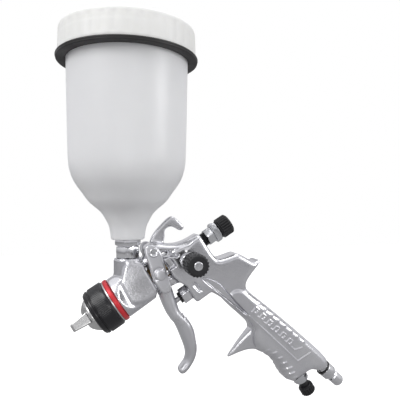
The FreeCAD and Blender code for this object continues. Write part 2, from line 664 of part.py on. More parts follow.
def pattern_control():
    """The fan-width valve on the gun's side: housing, stem, knob and the knob's screw."""
    side = S.body_width / 2
    bore = S.pattern_stem_radius + S.fit
    start = S.pattern_knob_start
    end = start + S.pattern_knob_length
    pieces = {
        "pattern_housing": [
            (side - 4.2, bore + 0.1), (start - 1, bore + 0.1), (start - 1, S.pattern_collar - 1.4),
            (side + 4, S.pattern_collar - 0.6), (side + 3.4, S.pattern_collar),
            (side + 0.05, S.pattern_collar), (side + 0.05, S.pattern_thread),
            (side - 4.2, S.pattern_thread),
        ],
        "pattern_stem": tube(side - 3.9, start + 9, S.pattern_stem_radius),
        "pattern_knob": [
            (start, bore), (start + 9.1, bore), (start + 9.1, 0), (end - 1.2, 0), (end - 1.2, 3.35),
            (end, 3.35), (end, S.pattern_knob_radius - 1.5), (end - 1.3, S.pattern_knob_radius),
            (start + 1.6, S.pattern_knob_radius), (start + 1.2, S.pattern_knob_radius - 1),
            (start, S.pattern_knob_radius - 1),
        ],
        "pattern_knob_screw": tube(end - 1.15, end + 0.7, 3.2),
    }
    for label, corners in pieces.items():
        body = new_body(label)
        revolve(body, label + "_turning", corners)
        seat_sideways(body, S.pattern_u, S.pattern_w)


def air_valve():
    """The trigger's air valve: packing nut, gland, stem, poppet, seat and spring."""
    face = S.valve_face
    height = S.valve_w
    bore = S.valve_stem_radius + S.fit
    nut = turned("valve_nut", tube(face - 0.1, face + 7, S.valve_thread, bore + 0.1), w=height)
    hexagon(nut, "valve_hex", S.valve_nut_radius, face - 7, 6.95)
    rod(nut, "valve_nut_bore", "SubtractiveCylinder", bore + 0.1, 20, (face - 8, 0, 0),
        FreeCAD.Vector(1, 0, 0))
    turned("valve_gland", tube(face - 9, face - 7.05, 4.5, bore), w=height)
    tip = S.valve_tip
    turned("valve_stem", [
        (tip, 0), (tip, 0.9), (tip + 0.9, S.valve_stem_radius), (face + 17.5, S.valve_stem_radius),
        (face + 17.5, 0),
    ], w=height)
    seat = face + 9
    turned("valve_seat", tube(seat, seat + 2, S.valve_thread - 0.02, 3.2), w=height)
    turned("valve_poppet", tube(seat + 2.1, seat + 4.4, S.valve_thread - 0.8, bore - 0.04), w=height)
    coil("valve_spring", seat + 4.45, sized(5.6), S.valve_thread - 1.2, 0.45, 3, height)


def air_inlet():
    """The quick-connect plug and its seal at the grip's lower end."""
    lean = -S.grip_lean
    turned("inlet_seal", tube(1.7, 2.7, 6.4, S.inlet_thread + 0.1), INLET_U, INLET_W, lean)
    end = S.plug_length
    turned("air_inlet_plug", [
        (-8.5, S.inlet_bore), (end, S.inlet_bore), (end, S.plug_radius - 1),
        (end - 1.4, S.plug_radius), (end - 9, S.plug_radius), (end - 9.4, S.plug_radius - 1.1),
        (end - 12, S.plug_radius - 1.1), (end - 12.2, 6.2), (2.8, 6.2), (2.8, S.inlet_thread),
        (-8.5, S.inlet_thread),
    ], INLET_U, INLET_W, lean)


def air_regulator():
    """The air-flow valve under the grip: nut, stem and knob."""
    lean = sized(-90)
    bore = S.regulator_stem_radius + S.fit
    spot = (REGULATOR_U, REGULATOR_W, lean)
    nut = turned("regulator_nut", tube(-9, 0.5, S.regulator_thread, bore + 0.1), *spot)
    hexagon(nut, "regulator_hex", S.regulator_nut_radius, 0.05, 7)
    rod(nut, "regulator_nut_bore", "SubtractiveCylinder", bore + 0.1, 20, (-10, 0, 0),
        FreeCAD.Vector(1, 0, 0))
    start = 8.2
    head = start + 3.6
    end = head + S.regulator_knob_length
    turned("regulator_stem", tube(-10, head + 4, S.regulator_stem_radius), *spot)
    radius = S.regulator_knob_radius
    turned("regulator_knob", [
        (start, bore), (head + 4.1, bore), (head + 4.1, 0), (end, 0), (end, radius - 1),
        (end - 0.9, radius), (head + 0.8, radius), (head, radius - 0.8), (head, 4.1), (start, 4.1),
    ], *spot)


# ---------------------------------------------------------------- cup

def cup_wall_line(offset):
    """The cup's side from its neck to its rim, moved inwards by an offset."""
    radius = S.cup_radius
    low = S.cup_bottom
    shape = [
        (2, S.cup_neck), (8, S.cup_neck + 1.2), (13.7, S.cup_neck + 3.3), (20.5, S.cup_neck + 7.5),
        (28, radius - 16.4), (34.5, radius - 11.8), (40, radius - 7.6), (45.5, radius - 4.4),
        (52, radius - 2.4), (60, radius - 1.5), (81, radius - 1), (S.cup_rim - low - 18.2, radius),
    ]
    return [(low + rise, out - offset) for rise, out in shape]


def cup_group():
    """Cup, its outlet fitting, union nut, strainer, black sealing ring and lid."""
    low = S.cup_bottom
    wall = S.cup_wall
    hole = S.outlet_radius + S.fit
    outside = [(low, hole), (low, S.cup_neck - 0.8)] + cup_wall_line(0)
    inside = [(x + wall * 0.35, r) for x, r in cup_wall_line(wall)]
    rim = S.cup_rim
    corners = outside + [(rim, S.cup_radius), (rim, S.cup_radius - wall)] + inside[::-1]
    turned("cup_body", corners + [(low + wall, S.cup_neck - wall), (low + wall, hole)], lean=CUP_LEAN)

    top = S.boss_top
    thread = S.fitting_thread
    fitting = turned("cup_fitting", [
        (top - 11.5, S.fluid_bore), (low + 4.2, S.fluid_bore), (low + 4.2, S.cup_neck - wall - 0.4),
        (low + wall + 0.05, S.cup_neck - wall - 0.4), (low + wall + 0.05, S.outlet_radius),
        (low - 0.1, S.outlet_radius), (low - 0.1, S.outlet_radius - 0.5), (low - 5.3, S.outlet_radius - 0.5),
        (low - 5.3, thread), (top - 11.5, thread),
    ], lean=CUP_LEAN)
    hexagon(fitting, "fitting_hex_flats", S.fitting_hex, low - 4.5, 4.45)
    rod(fitting, "fitting_bore", "SubtractiveCylinder", S.fluid_bore, 60, (0, 0, 0),
        FreeCAD.Vector(1, 0, 0))
    nut = new_body("union_nut")
    hexagon(nut, "union_hex", S.fitting_hex, top + 0.05, low - 5.4 - top)
    rod(nut, "union_bore", "SubtractiveCylinder", thread + S.fit, 30, (top - 5, 0, 0),
        FreeCAD.Vector(1, 0, 0))
    seat_in_plane(nut, 0, 0, CUP_LEAN)
    turned("cup_strainer", [
        (low - 6, S.fluid_bore - 0.7), (low - 6, S.fluid_bore - 0.1), (low + 4.25, S.fluid_bore - 0.1),
        (low + 4.25, S.fluid_bore + 1.2), (low + 5, S.fluid_bore + 1.2), (low + 13, 2.6),
        (low + 13, 0), (low + 12.3, 0), (low + 12.3, 2), (low + 4.6, S.fluid_bore - 0.7),
    ], lean=CUP_LEAN)

    start = S.cup_rim - S.lid_grip
    end = start + S.lid_ring_depth
    clear = S.cup_radius + S.side_gap
    turned("lid_ring", tube(start, end, S.cup_radius + S.lid_ring_overhang, clear), lean=CUP_LEAN)
    base = end + 0.05
    roof = end + S.lid_height
    skirt = S.cup_radius + S.lid_overhang
    turned("cup_lid", [
        (base, clear + 0.1), (roof - S.lid_wall, clear + 0.1), (roof - S.lid_wall, 0), (roof, 0),
        (roof, skirt - 7), (roof - 0.8, skirt - 4.4), (roof - 2.6, skirt - 2.2), (roof - 5.2, skirt - 0.9),
        (roof - 8.5, skirt - 0.3), (base, skirt),
    ], lean=CUP_LEAN)


# ---------------------------------------------------------------- checks and export

def sub_parts():
    """Every object that is a node: the bodies and the springs."""
    springs = [thing for thing in doc.Objects if thing.TypeId == "Part::Feature"]
    return [thing for thing in doc.Objects if thing.TypeId == "PartDesign::Body"] + springs


def check_model():
    """Stop if any object failed or any sub-part is empty or not valid."""
    faults = [thing.Name for thing in doc.Objects
              if "Invalid" in thing.State or "Error" in thing.State]
    for piece in sub_parts():
        if piece.Shape.isNull() or not piece.Shape.isValid() or not piece.Shape.Solids:
            faults.append(piece.Label)
    if faults:
        raise SystemExit("not built: " + ", ".join(faults))


def main():
    """Build every sub-part, check the model and write one STEP file for each node."""
    casting()
    spray_head()
    needle_group()
    trigger_group()
    fluid_control()
    pattern_control()
    air_valve()
    air_inlet()
    air_regulator()
    cup_group()
    doc.recompute()
    check_model()
    os.makedirs("parts", exist_ok=True)
    for piece in sub_parts():
        piece.Shape.exportStep("parts/%s.step" % piece.Label)
        solids = len(piece.Shape.Solids)
        print("%-20s %d solid(s) %9.1f mm3" % (piece.Label, solids, piece.Shape.Volume))


main()
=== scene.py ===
"""A gravity-feed spray gun: its visible pieces and finishes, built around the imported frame."""
import json
import logging
import math
from dataclasses import dataclass
from enum import Enum
from typing import Callable, Iterable, Sequence

import bpy
import numpy
from mathutils import Matrix, Vector


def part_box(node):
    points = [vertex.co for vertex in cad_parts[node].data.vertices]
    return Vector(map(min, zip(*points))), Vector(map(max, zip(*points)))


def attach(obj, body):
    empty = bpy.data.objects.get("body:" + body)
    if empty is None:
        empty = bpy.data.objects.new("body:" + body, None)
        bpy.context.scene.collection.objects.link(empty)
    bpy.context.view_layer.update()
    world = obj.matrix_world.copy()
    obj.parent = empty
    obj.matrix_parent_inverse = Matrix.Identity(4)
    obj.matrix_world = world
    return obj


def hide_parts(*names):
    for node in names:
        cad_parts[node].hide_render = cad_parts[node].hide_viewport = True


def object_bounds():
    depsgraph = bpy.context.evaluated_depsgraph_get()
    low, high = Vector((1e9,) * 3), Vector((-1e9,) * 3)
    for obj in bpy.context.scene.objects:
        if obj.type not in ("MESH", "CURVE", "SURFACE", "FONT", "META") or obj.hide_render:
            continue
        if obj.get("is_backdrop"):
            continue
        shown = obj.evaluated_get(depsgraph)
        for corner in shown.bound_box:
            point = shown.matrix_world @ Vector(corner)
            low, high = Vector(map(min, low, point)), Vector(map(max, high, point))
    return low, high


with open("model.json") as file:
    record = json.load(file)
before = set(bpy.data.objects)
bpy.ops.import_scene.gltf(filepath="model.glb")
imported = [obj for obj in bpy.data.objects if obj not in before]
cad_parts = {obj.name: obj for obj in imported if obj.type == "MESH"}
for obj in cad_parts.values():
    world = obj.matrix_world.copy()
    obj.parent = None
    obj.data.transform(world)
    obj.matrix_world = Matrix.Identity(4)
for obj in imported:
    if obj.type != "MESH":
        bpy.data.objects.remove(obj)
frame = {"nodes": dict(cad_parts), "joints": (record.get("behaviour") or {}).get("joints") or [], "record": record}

LOG = logging.getLogger("spray_gun")
MM = 0.001
FULL_TURN = 2 * math.pi
ACROSS = Vector((0, 1, 0))
Corner = tuple[float, float]


# ------------------------------------------------------------------ places


@dataclass(frozen=True)
class Axis:
    """A straight axis with one direction square to it."""

    origin: Vector
    along: Vector
    out: Vector

    def at(self, reach: float, radius: float = 0.0, angle: float = 0.0) -> Vector:
        """Give a point beside the axis.

        Args:
            reach: Distance along the axis in millimetres.
            radius: Distance from the axis in millimetres.
            angle: Turn about the axis from its square direction, in radians.

        Returns:
            The point in metres.
        """
        side = Matrix.Rotation(angle, 3, self.along) @ self.out
        return self.origin + (self.along * reach + side * radius) * MM


class GunPlaces:
    """The gun's own directions, read from the frame's joints."""

    def __init__(self, joints: Sequence[dict]) -> None:
        """Find the needle's axis and the axes of the controls.

        Args:
            joints: The frame's joints.
        """
        named = {joint["name"]: joint for joint in joints}
        self.back = Vector(named["needle_draw"]["axis"]).normalized()
        self.up = Vector((-self.back.z, 0, self.back.x))
        on_needle = Vector(named["fluid_knob_turn"]["pos_m"])
        cup_x = named["cup_lid_turn"]["pos_m"][0]
        self.origin = on_needle + self.back * ((cup_x - on_needle.x) / self.back.x)
        self.pivot = Vector(named["trigger_pull"]["pos_m"])
        self.needle = Axis(self.origin, self.back, self.up)
        self.cup = Axis(self.origin, Vector((0, 0, 1)), Vector((1, 0, 0)))
        self.knob_side = self.sideways(named["pattern_knob_turn"]["pos_m"])
        below = Vector(named["regulator_knob_turn"]["axis"]).normalized()
        spot = Vector(named["regulator_knob_turn"]["pos_m"])
        start = spot - below * ((spot - self.origin).dot(below))
        self.regulator = Axis(start, below, self.back)

    def sideways(self, spot: Sequence[float]) -> Axis:
        """Give the axis that leaves the gun's near side through a spot."""
        return Axis(Vector((spot[0], 0, spot[2])), -ACROSS, self.up)

    def spot(self, u: float, v: float, w: float) -> Vector:
        """Turn a place along, across and above the needle into metres."""
        return self.origin + (self.back * u + ACROSS * v + self.up * w) * MM

    def valve(self, drop: float) -> Axis:
        """Give the axis that runs beside the needle's at a drop below it."""
        return Axis(self.spot(0, 0, -drop), self.back, self.up)

    def inlet(self) -> Axis:
        """Give the air plug's axis, from its mount."""
        mount = [m for m in frame["record"]["mounts"] if m["name"] == "air_inlet"][0]
        along = Vector(mount["axis"]).normalized()
        tip = Vector(mount["pos_m"])
        return Axis(tip - along * 17.3 * MM, along, Vector((-along.z, 0, along.x)))


# ------------------------------------------------------------------ modelling


def deselect() -> None:
    """Leave edit mode and deselect every object."""
    if bpy.context.object and bpy.context.object.mode != "OBJECT":
        bpy.ops.object.mode_set(mode="OBJECT")
    bpy.ops.object.select_all(action="DESELECT")


def take(piece: bpy.types.Object) -> None:
    """Select one object alone and make it active."""
    deselect()
    piece.select_set(True)
    bpy.context.view_layer.objects.active = piece


def in_edit(piece: bpy.types.Object, steps: Iterable[Callable[[], object]]) -> None:
    """Run mesh operators on the whole of a piece in edit mode.

    Args:
        piece: The piece to work on.
        steps: Calls to make, in order, with everything selected first.
    """
    take(piece)
    bpy.ops.object.mode_set(mode="EDIT")
    for step in steps:
        bpy.ops.mesh.select_all(action="SELECT")
        step()
    bpy.ops.object.mode_set(mode="OBJECT")


def tidy(piece: bpy.types.Object, gap: float = 0.00001) -> None:
    """Merge doubled points and turn the faces outwards."""
    in_edit(piece, [
        lambda: bpy.ops.mesh.remove_doubles(threshold=gap),
        lambda: bpy.ops.mesh.dissolve_degenerate(threshold=gap / 10),
        lambda: bpy.ops.mesh.normals_make_consistent(inside=False),
    ])


def apply(piece: bpy.types.Object, kind: str, **values: object) -> None:
    """Add one modifier, set it and apply it.

    Args:
        piece: The piece to change.
        kind: The modifier's type.
        values: The modifier's settings.
    """
    take(piece)
    modifier = piece.modifiers.new("step", kind)
    for key, value in values.items():
        setattr(modifier, key, value)
    bpy.ops.object.modifier_apply(modifier=modifier.name)


def soften(piece: bpy.types.Object, width: float, segments: int = 3, angle: float = 28) -> None:
    """Round a piece's sharp edges.

    Args:
        piece: The piece to round.
        width: The bevel's width in millimetres.
        segments: How many strips make the round.
        angle: Edges that turn by more than this many degrees are rounded.
    """
    apply(piece, "BEVEL", width=width * MM, segments=segments, limit_method="ANGLE",
          angle_limit=math.radians(angle), use_clamp_overlap=True)


def shade(piece: bpy.types.Object, angle: float = 32) -> bpy.types.Object:
    """Shade a piece smooth except at edges sharper than an angle in degrees."""
    take(piece)
    bpy.ops.object.shade_smooth_by_angle(angle=math.radians(angle))
    return piece


def joined(name: str, pieces: Sequence[bpy.types.Object]) -> bpy.types.Object:
    """Join several objects into one.

    Args:
        name: The joined object's name.
        pieces: The objects, the first of which is kept.

    Returns:
        The joined object.
    """
    take(pieces[0])
    for piece in pieces[1:]:
        piece.select_set(True)
    if len(pieces) > 1:
        bpy.ops.object.join()
    pieces[0].name = name
    return pieces[0]


def carve(piece: bpy.types.Object, cutters: Sequence[bpy.types.Object], keep: bool = False) -> None:
    """Cut cutters away from a piece, or keep only what lies inside them.

    Args:
        piece: The piece to cut.
        cutters: Closed shapes, which are deleted afterwards.
        keep: Whether the inside is kept.
    """
    for cutter in cutters:
        apply(piece, "BOOLEAN", operation="INTERSECT" if keep else "DIFFERENCE",
              object=cutter, solver="EXACT")
        bpy.data.objects.remove(cutter, do_unlink=True)


def melt(piece: bpy.types.Object, voxel: float, rounds: int) -> None:
    """Flow overlapping solids into one casting with soft inner and outer corners.

    Args:
        piece: The joined solids.
        voxel: Size of the new mesh's faces in millimetres.
        rounds: How many smoothing rounds follow.
    """
    apply(piece, "REMESH", mode="VOXEL", voxel_size=voxel * MM, adaptivity=0.0)
    if rounds:
        apply(piece, "SMOOTH", factor=0.5, iterations=rounds)
    take(piece)
    bpy.ops.object.shade_smooth()


def flowing(corners: Sequence[Corner], rounds: int = 3) -> list[Corner]:
    """Round a closed outline by cutting its corners again and again.

    Args:
        corners: The outline's corners.
        rounds: How many times the corners are cut.

    Returns:
        The rounded outline.
    """
    line = list(corners)
    for _ in range(rounds):
        cut: list[Corner] = []
        for here, after in zip(line, line[1:] + line[:1]):
            for share in (0.25, 0.75):
                cut.append((here[0] + (after[0] - here[0]) * share,
                            here[1] + (after[1] - here[1]) * share))
        line = cut
    return line


def curved(knots: Sequence[Corner], steps: int = 5) -> list[Corner]:
    """Run a smooth open line through knots.

    Args:
        knots: The points that the line passes through.
        steps: How many stretches lie between two knots.

    Returns:
        The points of the line.
    """
    ends = [knots[0]] + list(knots) + [knots[-1]]
    line: list[Corner] = []
    for a, b, c, d in zip(ends, ends[1:], ends[2:], ends[3:]):
        for i in range(steps):
            t = i / steps
            line.append(tuple(
                0.5 * (2 * b[k] + (c[k] - a[k]) * t + (2 * a[k] - 5 * b[k] + 4 * c[k] - d[k]) * t ** 2
                       + (3 * b[k] - a[k] - 3 * c[k] + d[k]) * t ** 3) for k in (0, 1)))
    return line + [knots[-1]]


def plate(places: GunPlaces, corners: Sequence[Corner], half: float, middle: float = 0.0,
          edge: float = 0.0, segments: int = 3) -> bpy.types.Object:
    """Extrude a side-view outline across the gun.

    Args:
        places: The gun's directions.
        corners: The outline along and above the needle, in millimetres.
        half: Half the plate's thickness across the gun.
        middle: Where the plate's middle lies across the gun.
        edge: The bevel of its long edges, or 0 for none.
        segments: How many strips make the bevel.

    Returns:
        The plate.
    """
    deselect()
    bpy.ops.mesh.primitive_circle_add(vertices=len(corners), fill_type="NGON")
    piece = bpy.context.object
    for point, (u, w) in zip(piece.data.vertices, corners):
        point.co = places.spot(u, middle - half, w)
    shift = ACROSS * (2 * half * MM)
    in_edit(piece, [
        lambda: bpy.ops.mesh.extrude_region_move(TRANSFORM_OT_translate={"value": shift}),
        lambda: bpy.ops.mesh.normals_make_consistent(inside=False),
    ])
    if edge:
        soften(piece, edge, segments, angle=50)
    return piece


def distance_to_outline(spots: numpy.ndarray, corners: Sequence[Corner]) -> numpy.ndarray:
    """Measure how far points lie from a closed outline.

    Args:
        spots: Points along and above the needle, in millimetres.
        corners: The outline's corners.

    Returns:
        The distance of each point from the nearest side.
    """
    line = numpy.array(corners)
    after = numpy.roll(line, -1, axis=0)
    nearest = numpy.full(len(spots), 1e9)
    for start, end in zip(line, after):
        run = end - start
        share = numpy.clip(((spots - start) @ run) / max(run @ run, 1e-9), 0, 1)
        gap = numpy.linalg.norm(spots - start - share[:, None] * run, axis=1)
        nearest = numpy.minimum(nearest, gap)
    return nearest


def pillow(places: GunPlaces, corners: Sequence[Corner], half: float, edge: float,
           voxel: float = 0.9, middle: float = 0.0,
           narrow: Callable[[numpy.ndarray, numpy.ndarray], numpy.ndarray] | None = None,
           ) -> bpy.types.Object:
    """Make a thick plate whose two faces roll over to its sides in a wide round.

    Args:
        places: The gun's directions.
        corners: The outline along and above the needle, in millimetres.
        half: Half its thickness.
        edge: The radius of the round.
        voxel: Size of the faces that carry the round.
        middle: Where its middle lies across the gun.
        narrow: An optional limit on half its thickness at each place.

    Returns:
        The plate.
    """
    piece = plate(places, corners, half, middle)
    apply(piece, "REMESH", mode="VOXEL", voxel_size=voxel * MM, adaptivity=0.0)
    count = len(piece.data.vertices)
    points = numpy.empty(count * 3)
    piece.data.vertices.foreach_get("co", points)
    points = points.reshape(-1, 3)
    arm = (points - numpy.array(places.origin)) / MM
    u = arm @ numpy.array(places.back)
    w = arm @ numpy.array(places.up)
    depth = numpy.minimum(distance_to_outline(numpy.stack([u, w], 1), corners), edge)
    most = numpy.minimum(half, narrow(u, w)) if narrow else half
    most = most - edge + numpy.sqrt(numpy.maximum(edge ** 2 - (edge - depth) ** 2, 0.01))
    most = numpy.maximum(most, 0.4)
    points[:, 1] = numpy.clip(arm[:, 1] - middle, -most, most) * MM + middle * MM
    piece.data.vertices.foreach_set("co", points.ravel())
    piece.data.update()
    return piece


def spun(axis: Axis, corners: Sequence[Corner], solid: bool, steps: int = 96) -> bpy.types.Object:
    """Spin a profile about an axis.

    Args:
        axis: The axis.
        corners: The profile, as distances along the axis and from it, in millimetres.
        solid: Whether the profile is open and starts and ends on the axis.
        steps: How many steps make the full turn.

    Returns:
        The turned piece.
    """
    deselect()
    bpy.ops.mesh.primitive_circle_add(vertices=len(corners), fill_type="NOTHING")
    piece = bpy.context.object
    for point, (reach, radius) in zip(piece.data.vertices, corners):
        point.co = axis.at(reach, radius)
    if solid:
        last = len(corners) - 1
        for edge in piece.data.edges:
            edge.select = set(edge.vertices) == {0, last}
        for point in piece.data.vertices:
            point.select = False
        take(piece)
        bpy.context.tool_settings.mesh_select_mode = (False, True, False)
        bpy.ops.object.mode_set(mode="EDIT")
        bpy.ops.mesh.delete(type="EDGE")
        bpy.context.tool_settings.mesh_select_mode = (True, False, False)
    in_edit(piece, [
        lambda: bpy.ops.mesh.spin(steps=steps, angle=FULL_TURN, center=axis.origin, axis=axis.along),
    ])
    tidy(piece)
    return piece


def turned(axis: Axis, corners: Sequence[Corner], solid: bool = False, steps: int = 96,
           edge: float = 0.25) -> bpy.types.Object:
    """Spin a profile and round its sharp edges by a bevel in millimetres."""
    piece = spun(axis, corners, solid, steps)
    if edge:
        soften(piece, edge, 2)
    return shade(piece)


def fluted(piece: bpy.types.Object, axis: Axis, span: Corner, floor: float, teeth: int,
           depth: float) -> None:
    """Press lengthwise flutes into a turned piece.

    Args:
        piece: The turned piece.
        axis: Its axis.
        span: Where the flutes start and end along the axis, in millimetres.
        floor: Only points farther from the axis than this are moved.
        teeth: How many flutes there are.
        depth: How deep they are, in millimetres.
    """
    side = axis.along.cross(axis.out)
    for point in piece.data.vertices:
        arm = point.co - axis.origin
        reach = arm.dot(axis.along) / MM
        arm -= axis.along * reach * MM
        if arm.length < floor * MM or not span[0] <= reach <= span[1]:
            continue
        angle = math.atan2(arm.dot(side), arm.dot(axis.out))
        press = depth * MM * (0.5 - 0.5 * math.cos(angle * teeth)) ** 1.5
        point.co -= arm.normalized() * press


def thread(start: float, end: float, radius: float, pitch: float = 1.0) -> list[Corner]:
    """Give the ridges of a screw thread as the corners of a turned profile.

    Args:
        start: Where the thread starts along its axis.
        end: Where it ends.
        radius: The radius over its crests.
        pitch: The distance between crests.

    Returns:
        The corners from start to end.
    """
    count = max(1, round((end - start) / pitch))
    step = (end - start) / count
    line: list[Corner] = []
    for i in range(count):
        here = start + i * step
        line += [(here + step * 0.08, radius - 0.5 * pitch), (here + step * 0.45, radius),
                 (here + step * 0.6, radius)]
    return [(start, radius - 0.5 * pitch)] + line + [(end, radius - 0.5 * pitch)]


def hexagon(axis: Axis, start: float, end: float, corner: float, bore: float = 0.0,
            turn: float = 0.0) -> bpy.types.Object:
    """Make a hexagon nut whose corners are turned down at both ends.

    Args:
        axis: The nut's axis.
        start: Where it starts along the axis.
        end: Where it ends.
        corner: The radius over its corners.
        bore: The radius of its hole, or 0 for none.
        turn: A turn about the axis in degrees.

    Returns:
        The nut.
    """
    deselect()
    bpy.ops.mesh.primitive_circle_add(vertices=6, fill_type="NGON")
    piece = bpy.context.object
    for i, point in enumerate(piece.data.vertices):
        point.co = axis.at(start, corner, math.radians(turn + 60 * i))
    shift = axis.along * (end - start) * MM
    in_edit(piece, [
        lambda: bpy.ops.mesh.extrude_region_move(TRANSFORM_OT_translate={"value": shift}),
        lambda: bpy.ops.mesh.normals_make_consistent(inside=False),
    ])
    slope = corner * 0.09
    blank = spun(axis, [(start, 0), (start, corner * 0.885), (start + slope, corner * 1.02),
                        (end - slope, corner * 1.02), (end, corner * 0.885), (end, 0)], True, 72)
    carve(piece, [blank], keep=True)
    if bore:
        carve(piece, [spun(axis, [(start - 1, 0), (start - 1, bore), (end + 1, bore), (end + 1, 0)],
                           True, 64)])
    tidy(piece)
    soften(piece, 0.18, 2)
    return shade(piece)


# ------------------------------------------------------------------ finishes


class Grain(Enum):
    """How a finish's fine texture runs: its stretch along X, Y and Z."""

    EVEN = (1.0, 1.0, 1.0)
    LENGTHWISE = (0.25, 1.0, 1.0)
    UPRIGHT = (1.0, 1.0, 0.18)


def node_group(name: str, inputs: dict[str, float], outputs: Sequence[str]) -> tuple:
    """Start a shader node group with float sockets.

    Args:
        name: The group's name.
        inputs: Input names with their defaults.
        outputs: Output names.

    Returns:
        The tree, its input node and its output node.
    """
    tree = bpy.data.node_groups.new(name, "ShaderNodeTree")
    for key, value in inputs.items():
        tree.interface.new_socket(key, in_out="INPUT", socket_type="NodeSocketFloat").default_value = value
    for key in outputs:
        tree.interface.new_socket(key, in_out="OUTPUT", socket_type="NodeSocketFloat")
    return tree, tree.nodes.new("NodeGroupInput"), tree.nodes.new("NodeGroupOutput")


def surface_group() -> bpy.types.NodeTree:
    """Build the shared group that gives patches and fine grain.

    Returns:
        A tree with the outputs Patches and Grain, each about 0 to 1.
    """
    tree, given, result = node_group(
        "surface_marks", {"Patch Scale": 40.0, "Grain Scale": 900.0, "Stretch X": 1.0,
                          "Stretch Y": 1.0, "Stretch Z": 1.0}, ("Patches", "Grain"))
    place = tree.nodes.new("ShaderNodeTexCoord")
    stretch = tree.nodes.new("ShaderNodeCombineXYZ")
    scaled = tree.nodes.new("ShaderNodeVectorMath")
    scaled.operation = "MULTIPLY"
    for letter in "XYZ":
        tree.links.new(given.outputs["Stretch " + letter], stretch.inputs[letter])
    tree.links.new(place.outputs["Object"], scaled.inputs[0])
    tree.links.new(stretch.outputs[0], scaled.inputs[1])
    for scale, detail, output in (("Patch Scale", 3.0, "Patches"), ("Grain Scale", 2.0, "Grain")):
        noise = tree.nodes.new("ShaderNodeTexNoise")
        noise.inputs["Detail"].default_value = detail
        noise.inputs["Roughness"].default_value = 0.55
        tree.links.new(given.outputs[scale], noise.inputs["Scale"])
        tree.links.new(scaled.outputs[0], noise.inputs["Vector"])
        spread = tree.nodes.new("ShaderNodeMapRange")
        spread.inputs["From Min"].default_value = 0.3
        spread.inputs["From Max"].default_value = 0.7
        tree.links.new(noise.outputs["Fac"], spread.inputs["Value"])
        tree.links.new(spread.outputs[0], result.inputs[output])
    return tree


@dataclass(frozen=True)
class Finish:
    """One finish: a colour that varies a little, gloss that varies, and a fine relief."""

    slot: str
    colour: tuple[float, float, float]
    shadow: tuple[float, float, float]
    metal: float = 1.0
    rough: Corner = (0.2, 0.35)
    patch: float = 40.0
    grain: float = 900.0
    relief: float = 0.04
    wave: float = 0.0
    run: Grain = Grain.EVEN
    coat: float = 0.0
    inner_glow: float = 0.0

    def material(self) -> bpy.types.Material:
        """Build the finish's material, or find it if it is already built."""
        made = bpy.data.materials.get("finish_" + self.slot)
        if made:
            return made
        made = bpy.data.materials.new("finish_" + self.slot)
        made.use_nodes = True
        nodes, links = made.node_tree.nodes, made.node_tree.links
        shader = nodes["Principled BSDF"]
        marks = nodes.new("ShaderNodeGroup")
        marks.node_tree = bpy.data.node_groups.get("surface_marks") or surface_group()
        marks.inputs["Patch Scale"].default_value = self.patch
        marks.inputs["Grain Scale"].default_value = self.grain
        for letter, value in zip("XYZ", self.run.value):
            marks.inputs["Stretch " + letter].default_value = value
        tint = nodes.new("ShaderNodeMix")
        tint.data_type = "RGBA"
        tint.inputs[6].default_value = (*self.colour, 1)
        tint.inputs[7].default_value = (*self.shadow, 1)
        links.new(marks.outputs["Patches"], tint.inputs["Factor"])
        links.new(tint.outputs[2], shader.inputs["Base Color"])
        gloss = nodes.new("ShaderNodeMapRange")
        gloss.inputs["To Min"].default_value = self.rough[0]
        gloss.inputs["To Max"].default_value = self.rough[1]
        blend = nodes.new("ShaderNodeMath")
        blend.operation = "MULTIPLY_ADD"
        blend.inputs[1].default_value = 0.35
        links.new(marks.outputs["Grain"], blend.inputs[0])
        links.new(marks.outputs["Patches"], blend.inputs[2])
        links.new(blend.outputs[0], gloss.inputs["Value"])
        links.new(gloss.outputs[0], shader.inputs["Roughness"])
        height = nodes.new("ShaderNodeMath")
        height.operation = "MULTIPLY_ADD"
        height.inputs[1].default_value = self.wave
        links.new(marks.outputs["Patches"], height.inputs[0])
        links.new(marks.outputs["Grain"], height.inputs[2])
        bump = nodes.new("ShaderNodeBump")
        bump.inputs["Strength"].default_value = self.relief
        bump.inputs["Distance"].default_value = 0.0004
        links.new(height.outputs[0], bump.inputs["Height"])
        links.new(bump.outputs[0], shader.inputs["Normal"])
        shader.inputs["Metallic"].default_value = self.metal
        shader.inputs["Coat Weight"].default_value = self.coat
        if self.inner_glow:
            shader.inputs["Subsurface Weight"].default_value = self.inner_glow
            shader.inputs["Subsurface Radius"].default_value = (0.02, 0.02, 0.022)
            shader.inputs["Subsurface Scale"].default_value = 0.4
        return made

    def dress(self, piece: bpy.types.Object) -> None:
        """Give the finish to a piece that this script models."""
        piece.data.materials.clear()
        piece.data.materials.append(self.material())

    def dress_node(self, node: str) -> None:
        """Give the finish to a node of the frame."""
        for place in frame["nodes"][node].material_slots:
            place.material = self.material()


